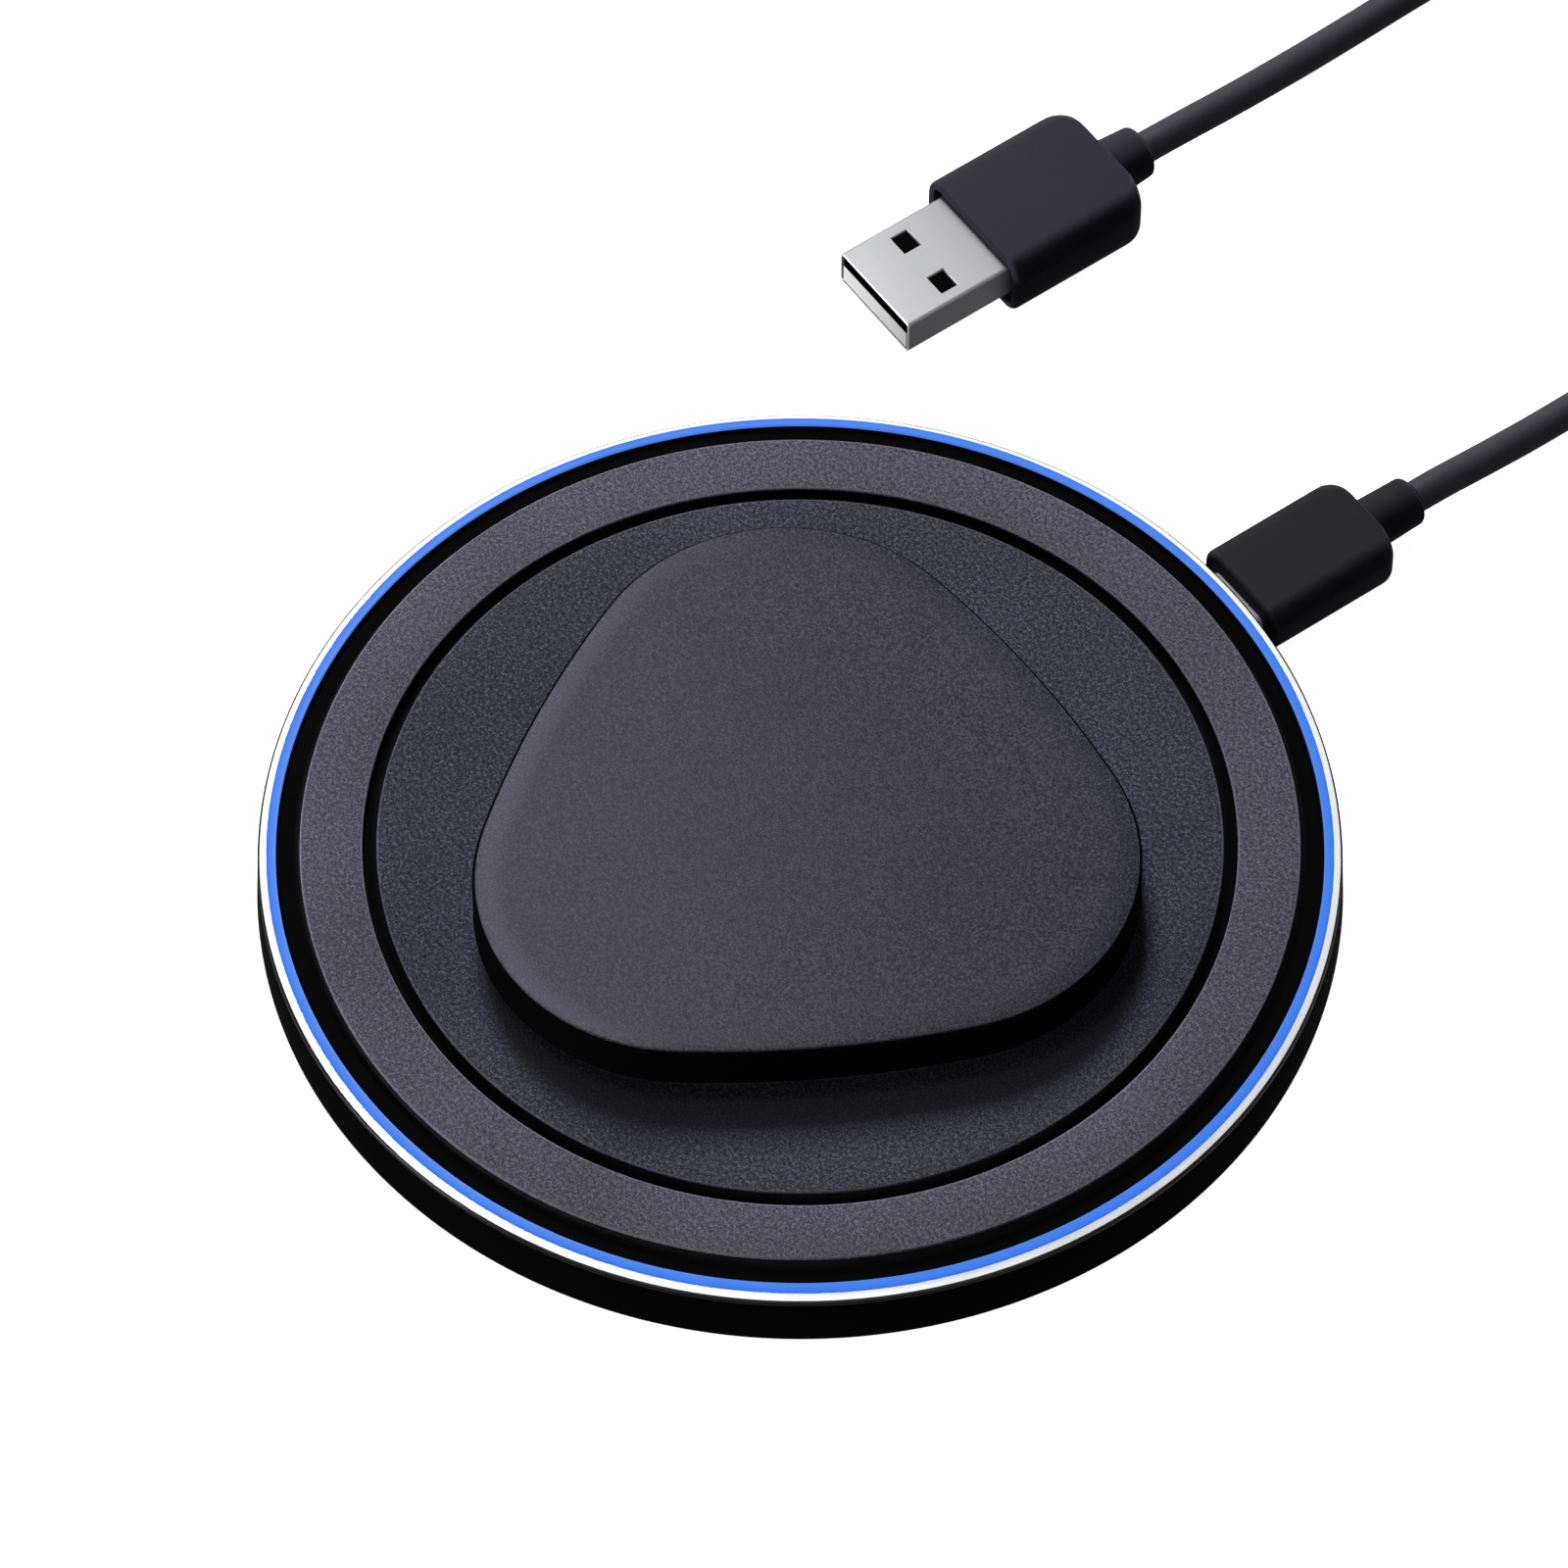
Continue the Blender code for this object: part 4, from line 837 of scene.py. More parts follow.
@dataclass(frozen=True)
class Cord:
    """The cord: a free stretch from each plug, and the coil between them."""

    diameter: float = 3.5
    length: float = 1.0  # metres
    # From the pad's plug to the coil.
    lead: tuple[Triple, ...] = (
        (0.0, 78.2, 3.9), (0.0, 82.0, 3.8), (-0.2, 88.0, 3.0), (-0.5, 95.0, 2.15),
        (-0.7, 103.0, 1.8), (-0.6, 112.0, 1.8), (-0.2, 122.0, 1.8), (0.5, 132.0, 1.9),
        (1.0, 139.0, 2.0), (1.25, 146.0, 2.05), (1.38, 153.0, 2.0),
    )
    # From the coil to the other plug.
    tail: tuple[Triple, ...] = (
        (-54.7, 153.0, 5.3), (-54.8, 145.1, 5.2), (-54.9, 138.0, 3.8), (-54.9, 130.0, 2.4),
        (-54.85, 125.0, 1.95), (-54.7, 118.0, 1.85), (-54.4, 112.0, 2.0), (-54.0, 106.0, 2.4),
        (-53.6, 100.0, 2.95), (-53.3, 94.0, 3.5), (-53.2, 88.0, 3.9), (-53.2, 83.2, 4.0),
    )
    centre: Pair = (-26.6, 160.0)  # of the coil
    steps: tuple[int, ...] = (-1, -1, 0, 1, 1)  # pitches that each turn moves outwards
    outer: float = 28.0  # radius of the outermost turn's middle
    pitch: float = 3.7  # between neighbouring turns' middles
    per_turn: int = 24  # points
    shift: float = 70.0  # degrees over which the cord moves to its next place or layer
    clearance: float = 0.05  # over the floor
    lead_lift: Pair = (0.2, 30.0)  # where the lead comes in, fading over degrees
    tie_lift: Pair = (0.82, 34.0)  # over the tie's band, fading over degrees
    spacing: float = 1.1  # between the points of the finished curve

    def coil(self) -> Points:
        """Points of five and a half turns: three inwards on the floor, then outwards on top.

        With the angle counted from where the lead comes in, each turn keeps its radius and then
        eases by one pitch over its last part, in on the first layer and out on the second. The
        climb to the second layer is one diameter, just before the third turn ends. Near the tie
        all turns rise over its band.

        Returns:
            Points in millimetres.
        """
        total = len(self.steps) * 360 + 180
        angle = np.linspace(0, total, int(total / 360 * self.per_turn) + 1)
        radius = np.full_like(angle, self.outer)
        for turn, step in enumerate(self.steps, 1):
            radius += step * self.pitch * ease(angle, turn * 360 - self.shift, self.shift)
        level = self.diameter * ease(angle, 3 * 360 - 2 * self.shift, self.shift)
        from_tie = (angle - 90 + 180) % 360 - 180
        lift = self.tie_lift[0] * np.exp(-((from_tie / self.tie_lift[1]) ** 2))
        entry = self.lead_lift[0] * np.exp(-((angle / self.lead_lift[1]) ** 2))
        height = self.diameter / 2 + self.clearance + entry + level + lift
        theta = np.radians(angle)
        x = self.centre[0] + radius * np.cos(theta)
        y = self.centre[1] + radius * np.sin(theta)
        return np.column_stack([x, y, height])

    def route(self) -> Points:
        """The whole centreline: lead, coil and tail through one smooth curve.

        Returns:
            Points in millimetres, evenly spaced, none lower than the floor allows.
        """
        points = smooth_curve(np.vstack([self.lead, self.coil(), self.tail]), self.spacing)
        points[:, 2] = np.maximum(points[:, 2], self.diameter / 2)
        return points

    def build(self) -> Piece:
        """Makes the cord as one curve with a round section.

        Returns:
            The cord.
        """
        points = self.route() * MM
        curve = bpy.data.curves.new("cord", "CURVE")
        curve.dimensions = "3D"
        curve.bevel_depth, curve.bevel_resolution = self.diameter / 2 * MM, 5
        curve.use_fill_caps = True
        spline = curve.splines.new("POLY")
        spline.points.add(len(points) - 1)
        flat = np.column_stack([points, np.ones(len(points))]).astype(np.float32)
        spline.points.foreach_set("co", flat.ravel())
        spline.use_smooth = True
        curve.materials.append(CORD_TPE.build())
        cord = bpy.data.objects.new("cord", curve)
        bpy.context.scene.collection.objects.link(cord)
        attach(cord, Body.CABLE.value)
        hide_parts("cord_lead", "cord_coil", "cord_tail")
        length = np.linalg.norm(np.diff(points, axis=0), axis=1).sum()
        LOG.info("cord: %.3f m long, %d points", length, len(points))
        return cord


def ease(value: Points, start: float, width: float) -> Points:
    """A smooth step from 0 to 1: half a cosine wave over the width, flat on either side.

    Args:
        value: Where the step is read.
        start: Where it begins.
        width: How long it takes.

    Returns:
        The step's height at each value.
    """
    return 0.5 - 0.5 * np.cos(math.pi * np.clip((value - start) / width, 0, 1))


def smooth_curve(points: Points, spacing: float) -> Points:
    """Evenly spaced points on a Catmull-Rom curve.

    Between two points the curve is the cubic whose slope at each is half the step between that
    point's neighbours.

    Args:
        points: The points that it passes through.
        spacing: Distance between the points handed back.

    Returns:
        The curve's points.
    """
    padded = np.vstack([2 * points[0] - points[1], points, 2 * points[-1] - points[-2]])
    t = np.linspace(0, 1, 20, endpoint=False)[None, :, None]
    a, b, c, d = (padded[start : len(points) - 1 + start, None] for start in range(4))
    bend = (2 * a - 5 * b + 4 * c - d) * t**2 + (3 * b - a - 3 * c + d) * t**3
    fine = np.vstack([(b + 0.5 * ((c - a) * t + bend)).reshape(-1, 3), points[-1:]])
    run = np.concatenate([[0], np.cumsum(np.linalg.norm(np.diff(fine, axis=0), axis=1))])
    even = np.linspace(0, run[-1], round(run[-1] / spacing) + 1)
    return np.column_stack([np.interp(even, run, fine[:, axis]) for axis in range(3)])


@dataclass(frozen=True)
class Shell:
    """The black case: a tray with a polished lip on its wall, and four rubber feet."""

    radius: float = 54.88  # of the side wall's foot
    draft: float = 0.26  # how much narrower the wall is at its top
    wall: float = 0.98
    underside: float = 0.45
    sunk: float = 0.16  # depth of the underside's middle and of the groove round it
    floor_top: float = 1.8
    ledge: float = 5.75  # the trim's seat
    wall_top: float = 6.1  # where the polished lip begins
    lip: Pair = (54.4, 6.72)  # its inner radius, and its height there
    port_height: float = 3.9  # of its middle
    port: Pair = (9.4, 3.46)  # width and height
    foot_circle: float = 38.0
    foot_radius: float = 5.0
    foot_top: float = 1.0
    recess: Pair = (5.3, 1.3)  # radius and top of a foot's recess
    steps: int = 288

    def port_cutter(self, name: str, back: float, grow: float = 0.0) -> Mesh:
        """A round-ended bar through the side wall, to cut the port with.

        Args:
            name: The cutter's name.
            back: Where it starts along Y.
            grow: How much wider and higher than the port it is.

        Returns:
            The cutter.
        """
        width, height = self.port[0] + grow, self.port[1] + grow
        end = height * 0.45
        rows = [(y, width, height, end, end) for y in (back, self.radius + 3)]
        return skin(name, box_rings(rows, (0, self.port_height)))

    def build_case(self, feet: Points) -> None:
        """The tray, with a fine rib in its underside, and the polished lip on its wall.

        Args:
            feet: X and Y of each foot.
        """
        low, inner = self.underside, self.radius - self.wall
        sunk, top = low + self.sunk, self.radius - self.draft
        profile = rounded(
            [
                (0, sunk, 0), (27.0, sunk, 0.1), (27.3, low, 0.1), (29.0, low, 0.1),
                (29.2, sunk, 0.06), (29.8, sunk, 0.06), (30.0, low, 0.1),
                (self.radius, low, 0.14), (top, self.wall_top, 0.02),
                (self.lip[0], self.wall_top, 0.02), (self.lip[0], self.ledge, 0.02),
                (inner, self.ledge, 0.05), (inner, self.floor_top, 0.3), (0, self.floor_top, 0),
            ],
            closed=False,
        )
        case = skin("case_tray", turned_rings(profile, self.steps))
        edge, high = self.recess
        hole = rounded([(0, -1, 0), (edge, -1, 0.02), (edge, high, 0.05), (0, high, 0)], False)
        cutters = [skin("foot_recess", turned_rings(hole, 64, tuple(foot))) for foot in feet]
        cutters.append(self.port_cutter("port_cutter", self.radius - 4))
        add_piece(cut_with(case, cutters), CASE_ABS, Body.PAD, ["bottom_case"])
        (inside, height), outside = self.lip, top - 0.01
        lip = [
            (inside, self.wall_top, 0.02), (inside, height, 0.04),
            (outside, height - 0.2, 0.1), (outside, self.wall_top, 0.02),
        ]
        add_ring("case_lip", lip, self.steps, LIP_ABS, "bottom_case")

    def build(self) -> None:
        """Makes the case, and feet with a rounded rim and two fine rings in the sole."""
        angle = np.radians([45, 135, 225, 315])
        feet = self.foot_circle * np.column_stack([np.cos(angle), np.sin(angle)])
        self.build_case(feet)
        edge, top = self.foot_radius, self.foot_top
        sole = [
            (0, 0.0, 0), (2.2, 0.0, 0.05), (2.35, 0.15, 0.05), (2.65, 0.15, 0.05),
            (2.8, 0.0, 0.05), (3.8, 0.0, 0.05), (3.95, 0.15, 0.05), (4.2, 0.15, 0.05),
            (4.35, 0.02, 0.1), (edge, 0.25, 0.25), (edge, top, 0.1), (0, top, 0),
        ]
        profile = rounded(sole, closed=False)
        for number, foot in enumerate(feet, 1):
            mesh = skin(f"foot_pad_{number}", turned_rings(profile, 72, tuple(foot)))
            add_piece(mesh, FOOT_SILICONE, Body.PAD, [f"foot_{number}"])


@dataclass(frozen=True)
class Rim:
    """The bright trim ring and the lit ring inside it, whose tops slope up inwards."""

    trim: Pair = (54.38, 53.74)  # outer and inner radius
    trim_low: float = 5.8
    trim_high: float = 7.05  # at its inner edge
    trim_drop: float = 0.33  # how much lower its outer edge is
    light_inner: float = 52.75
    light_low: float = 2.1
    light_high: float = 7.44  # at its inner edge
    light_step: float = 0.08  # how far its outer edge stands over the trim
    liner: Triple = (52.45, 6.3, 7.06)  # inner radius, bottom and top
    gap: float = 0.02  # between neighbouring rings
    steps: int = 320

    def build(self, shell: Shell) -> None:
        """Makes both rings, and the liner that hides the lit ring's inner side.

        Args:
            shell: The shell, whose port runs through the lit ring.
        """
        outer, inner = self.trim
        trim = [
            (outer, self.trim_low, 0.05), (outer, self.trim_high - self.trim_drop, 0.04),
            (inner, self.trim_high, 0.04), (inner, self.trim_low, 0.05),
        ]
        add_ring("trim_band", trim, self.steps, TRIM_ALUMINIUM, "trim_ring")
        outer, inner = inner - self.gap, self.light_inner
        light = [
            (outer, self.light_low, 0.05), (outer, self.trim_high + self.light_step, 0.06),
            (inner, self.light_high, 0.08), (inner, self.light_low, 0.05),
        ]
        rings = turned_rings(rounded(light), self.steps)
        cutter = shell.port_cutter("guide_cutter", 45.0, 0.6)
        guide = cut_with(skin("light_guide", rings, closed_across=True), [cutter])
        add_piece(guide, GUIDE_PC, Body.PAD, ["light_ring"])
        outer, (inner, low, high) = inner - self.gap, self.liner
        liner = [
            (outer, low, 0.03), (outer, high, 0.03), (inner, high - 0.06, 0.06),
            (inner, low, 0.03),
        ]
        add_ring("trough_liner", liner, self.steps, WALL_AND_SHADE_ABS)


@dataclass(frozen=True)
class Plateau:
    """The raised three-sided plateau: a black wall and a coated cap.

    The outline is three shallow side arcs, a flat side towards +Y, joined by three corner arcs
    that touch them.
    """

    inradius: float = 29.15  # to the middle of a side
    side_radius: float = 112.0  # of a side's arc
    corner_offset: float = 14.3  # how far out the corner arcs' centres stand
    wall: float = 1.6
    low: float = 7.1
    wall_top: float = 12.9
    seat: float = 0.3  # how far the cap is let into the wall
    top: float = 13.5  # of the cap's middle
    crown: float = 0.12  # how much lower the cap's edge is
    inset: float = 0.3  # how far the cap's edge stands in from the wall
    edge: float = 3.3  # width of the cap's rounded border
    arc_steps: int = 48
    crown_rings: int = 26

    def arcs(self) -> tuple[Points, Points, Points]:
        """Centre, radius and direction of every point of the outline.

        Returns:
            Centres, radii and unit directions, one row for each point.
        """
        offset = self.side_radius - self.inradius
        third = math.pi / 3
        reach_x = offset + self.corner_offset * math.cos(third)
        reach_y = self.corner_offset * math.sin(third)
        corner_radius = self.side_radius - math.hypot(reach_x, reach_y)
        half_side = math.atan2(reach_y, reach_x)
        middle = math.pi / 2 + np.arange(6) * third
        is_side = np.arange(6) % 2 == 0
        half = np.where(is_side, half_side, third - half_side)[:, None]
        angle = middle[:, None] + half * np.linspace(-1, 1, self.arc_steps + 1)[None, :-1]
        away = np.where(is_side, -offset, self.corner_offset)[:, None]
        centre = away[..., None] * np.stack([np.cos(middle), np.sin(middle)], axis=-1)[:, None]
        centre = np.broadcast_to(centre, (*angle.shape, 2)).reshape(-1, 2)
        radius = np.where(is_side, self.side_radius, corner_radius)[:, None]
        radius = np.broadcast_to(radius, angle.shape).reshape(-1, 1)
        direction = np.stack([np.cos(angle), np.sin(angle)], axis=-1).reshape(-1, 2)
        return centre, radius, direction

    def rings(self, profile: Points) -> Points:
        """Carries a profile round the outline: each row's inset shortens every arc's radius.

        Args:
            profile: (inset, height) rows.

        Returns:
            Points in millimetres, by profile row and by place round the outline.
        """
        centre, radius, direction = self.arcs()
        flat = centre + (radius - profile[:, 0][:, None, None]) * direction
        return with_height(flat, profile[:, 1])

    def build(self) -> None:
        """Makes the wall, and the cap: its top rises towards the middle along a parabola."""
        top, lap, seat = self.wall_top, self.inset + 0.06, self.wall_top - self.seat
        wall = [
            (0.0, self.low, 0.1), (0.0, top, 0.12), (lap, top, 0.04), (lap, seat, 0.04),
            (self.wall, seat, 0.05), (self.wall, self.low, 0.05),
        ]
        housing = skin("plateau_wall", self.rings(rounded(wall)), closed_across=True)
        add_piece(housing, WALL_AND_SHADE_ABS, Body.PAD, ["plateau_housing"])
        height, start = self.top - self.crown, self.inset
        rim = [
            (2.5, top - 0.1, 0), (start, top - 0.1, 0.03), (start, height - 0.2, 0.1),
            (start + 1.9, height, 1.2), (start + self.edge, height, 0),
        ]
        border = np.vstack(
            [rim[0][:2], rounded(rim, closed=False), (start + self.edge, height)]
        )
        body = self.rings(border)
        share = np.linspace(0.96, 0.02, self.crown_rings)[:, None]
        flat = share[..., None] * body[-1][None, :, :2]
        crown = height + self.crown * (1 - share**2)
        cap = skin("plateau_top", np.concatenate([body, with_height(flat, crown[:, 0])]))
        add_piece(cap, CAP_LACQUER, Body.PAD, ["plateau_cap"])


def with_height(flat: Points, height: Points) -> Points:
    """Gives rings of X and Y their height.

    Args:
        flat: X and Y, by ring and by place round it.
        height: Each ring's height.

    Returns:
        The rings, with X, Y and Z.
    """
    level = np.broadcast_to(height[:, None, None], (*flat.shape[:2], 1))
    return np.concatenate([flat, level], axis=-1)


@dataclass(frozen=True)
class Deck:
    """The grip ring and the inner disc, each a coated face on a black step."""

    outer: float = 50.32  # of the grip ring
    inner: float = 44.0  # of the grip ring
    disc: float = 42.6  # radius of the inner disc
    low: float = 6.82  # bottom of the steps
    face: float = 7.72  # bottom of the coated faces
    top: float = 8.0
    edge: float = 0.22  # rounding of the coated faces
    skirt: float = 0.6  # how far the steps flare out at their foot
    lap: float = 0.08  # how far the faces stand over the steps
    opening: Pair = (-0.04, -0.2)  # insets from the plateau of the disc's first two outlines
    border: float = 3.0  # of the disc, where its rings are circles
    steps: int = 288

    def build(self, plateau: Plateau) -> None:
        """Makes both faces and their steps.

        Args:
            plateau: The plateau, whose wall the disc meets.
        """
        outer, inner, low, face = self.outer, self.inner, self.low, self.face
        coated = [
            (outer, face, 0.03), (outer, self.top, self.edge),
            (inner, self.top, self.edge), (inner, face, 0.03),
        ]
        add_ring("grip_ring_face", coated, self.steps, GRIP_LACQUER, "grip_ring")
        step = [
            (outer + self.skirt, low, 0.03), (outer - self.lap, face, 0.1),
            (inner + self.lap, face, 0.03), (inner + self.lap, low, 0.03),
        ]
        add_ring("grip_ring_step", step, self.steps, SKIRT_ABS, "grip_ring")
        foot, head = (self.disc, face), (self.disc, self.top)
        self.build_disc("deck_disc_face", plateau, foot, head, self.edge, DECK_LACQUER)
        foot, head = (self.disc + self.skirt, low), (self.disc - self.lap, face)
        self.build_disc("deck_disc_step", plateau, foot, head, 0.1, SKIRT_ABS)

    def build_disc(
        self, name: str, plateau: Plateau, foot: Pair, head: Pair, edge: float, finish: Finish
    ) -> None:
        """Makes a disc with an opening for the plateau.

        The upper face is ruled between the opening's outline and a circle: each of its points
        slides from the outline to the circle at the same bearing.

        Args:
            name: The piece's name.
            plateau: The plateau, whose outline the opening follows.
            foot: Radius and height of the rim's lower edge.
            head: Radius and height of its upper edge.
            edge: Rounding of the upper edge.
            finish: The finish.
        """
        insets = np.array([(inset, 0.0) for inset in self.opening])
        opening, beside = plateau.rings(insets)[:, :, :2]
        bearing = np.arctan2(opening[:, 1], opening[:, 0])
        circle = np.column_stack([np.cos(bearing), np.sin(bearing)])
        middle = head[0] - self.border
        ends = (middle, head[1]), (middle, foot[1])
        rim = rounded([(*ends[0], 0), (*head, edge), (*foot, 0.03), (*ends[1], 0)], False)
        rim = np.vstack([ends[0], rim, ends[1]])
        outer = rim[:, 0][:, None, None] * circle[None]
        flat = np.concatenate([opening[None], beside[None], outer, opening[None]])
        level = np.concatenate([[head[1], head[1]], rim[:, 1], [foot[1]]])
        mesh = skin(name, with_height(flat, level), closed_across=True)
        add_piece(mesh, finish, Body.PAD, ["deck_disc"])


@dataclass(frozen=True)
class Sleeve:
    """A tube of sheet metal with a round-cornered section, along Y."""

    name: str
    size: Pair  # width and height
    corner: float  # rounding of the section
    wall: float
    span: Pair  # where it starts and ends
    centre: Pair  # X and Z of its axis

    def mesh(self) -> Mesh:
        """Carries the section out along the outside, over the lip and back along the inside.

        Returns:
            The sleeve's mesh.
        """
        lip = min(0.12, self.wall * 0.4)
        start, end = self.span
        path = [(end, 0.0, lip), (start, 0.0, lip), (start, self.wall, lip), (end, self.wall, lip)]
        place, depth = rounded(path).T
        corner = np.maximum(self.corner - depth, 0.12)
        width, height = (side - 2 * depth for side in self.size)
        table = np.column_stack([place, width, height, corner, corner])
        return skin(self.name, box_rings(table, self.centre, corner=10), closed_across=True)


def round_rows(place: Points, radius: Points) -> Points:
    """Rows for box_rings whose sections are circles.

    Args:
        place: Where each stands along the axis.
        radius: Each one's radius.

    Returns:
        The rows.
    """
    return np.column_stack([place, 2 * radius, 2 * radius, radius, radius])


@dataclass(frozen=True)
class Grip:
    """A plug's overmould: the grip, the pocket round its metal shell, and the cord's stub."""

    name: str
    node: str  # that it stands for
    finish: Finish
    centre: Pair  # X and Z of its axis
    size: Pair  # width and height of the grip
    corner: Pair  # how far its corners' rounding reaches across and up
    span: Pair  # where it starts and ends along Y
    front_edge: float  # its rounding
    back_edge: Pair  # rounding of the back corners, across and up
    pocket: Triple  # width, height and depth of the recess round the shell
    stub: Triple  # radius at its root and at its end, and its length
    lip: float = 0.6  # rounding of the stub's end
    neck: float = 0.8  # length of the step from the back face to the stub

    def rows(self) -> Points:
        """Section of the overmould at each place along it.

        Quarter ellipses round the front and back edges, and a smooth step leads from the back
        face to the stub, which tapers and ends in a rounded lip round the cord.

        Returns:
            Rows for box_rings.
        """
        (width, height), (across, up), (first, last) = self.size, self.corner, self.span
        pocket_w, pocket_h, pocket_depth = self.pocket
        quarter = np.linspace(0, math.pi / 2, 9)
        # The pocket's lip is rounded in a few coarse steps, so that the edge mark paints a pale
        # line round it: a painted highlight.
        start = [
            (first + pocket_depth, pocket_w - 0.1, pocket_h - 0.1, 1.0, 1.0),
            (first + 0.3, pocket_w, pocket_h, 1.05, 1.05),
            (first + 0.06, pocket_w + 0.06, pocket_h + 0.06, 1.1, 1.1),
            (first, pocket_w + 0.22, pocket_h + 0.22, 1.15, 1.15),
        ]
        front_y = first + self.front_edge * (1 - np.cos(quarter))
        grow = 2 * self.front_edge * (1 - np.sin(quarter))
        front = np.column_stack(
            [front_y, width - grow, height - grow, across - grow / 3, up - grow / 3]
        )
        reach, rise = self.back_edge
        back_y = last - reach + reach * np.sin(quarter)
        narrow = reach * (1 - np.cos(quarter))
        up_share = np.clip((back_y - (last - rise)) / rise, 0, 1)
        thin = rise * (1 - np.sqrt(1 - up_share**2))
        corner_w = np.minimum(across, width / 2 - narrow - 0.05)
        corner_h = np.minimum(up, height / 2 - thin - 0.05)
        back = np.column_stack(
            [back_y, width - 2 * narrow, height - 2 * thin, corner_w, corner_h]
        )
        root, tip, length = self.stub
        end = last + length
        neck_y = last + np.array([0.0, 0.1, 0.35, self.neck])
        neck_r = np.minimum(root + np.array([0.5, 0.3, 0.1, 0.0]), height / 2 - rise - 0.03)
        share = np.linspace(0.2, 1, 8)
        taper_y = last + self.neck + (length - self.neck - self.lip) * share
        nose_y = end - self.lip + self.lip * np.sin(quarter[1:])
        nose_r = tip - self.lip * (1 - np.cos(quarter[1:]))
        hole = np.array([(end - 0.1, 1.85), (end - 1.5, 1.8)])
        rounds = [
            (neck_y, neck_r), (taper_y, root + (tip - root) * share), (nose_y, nose_r), hole.T
        ]
        return np.vstack([start, front, back, *(round_rows(*each) for each in rounds)])

    def build(self) -> Piece:
        """Makes the overmould.

        Returns:
            The piece.
        """
        mesh = skin(self.name, box_rings(self.rows(), self.centre, corner=12))
        return add_piece(mesh, self.finish, Body.CABLE, [self.node], 48)


@dataclass(frozen=True)
class UsbCPlug:
    """The small plug in the pad's port, and the port's metal."""

    centre: Pair = (0.0, 3.9)  # X and Z of its axis

    def build(self) -> list[Piece]:
        """Makes the port's shell, the plug's shell, and the overmould.

        Returns:
            The pieces that go with the cord.
        """
        port = Sleeve("usb_c_port_sleeve", (9.15, 3.3), 1.48, 0.2, (47.25, 54.6), self.centre)
        add_piece(port.mesh(), PLUG_NICKEL, Body.PAD, ["usb_c_receptacle_shell"])
        shell = Sleeve("usb_c_plug_sleeve", (8.25, 2.4), 1.08, 0.35, (48.25, 59.1), self.centre)
        plug = add_piece(shell.mesh(), PLUG_NICKEL, Body.CABLE, ["usb_c_plug_shell"])
        grip = Grip(
            "usb_c_grip", "usb_c_overmold", OVERMOLD_BLACK, self.centre,
            size=(12.0, 6.3), corner=(2.0, 2.3), span=(55.5, 71.9), front_edge=0.7,
            back_edge=(2.0, 0.3), pocket=(8.4, 2.55, 0.6), stub=(2.8, 2.7, 6.0),
        )
        return [plug, grip.build()]


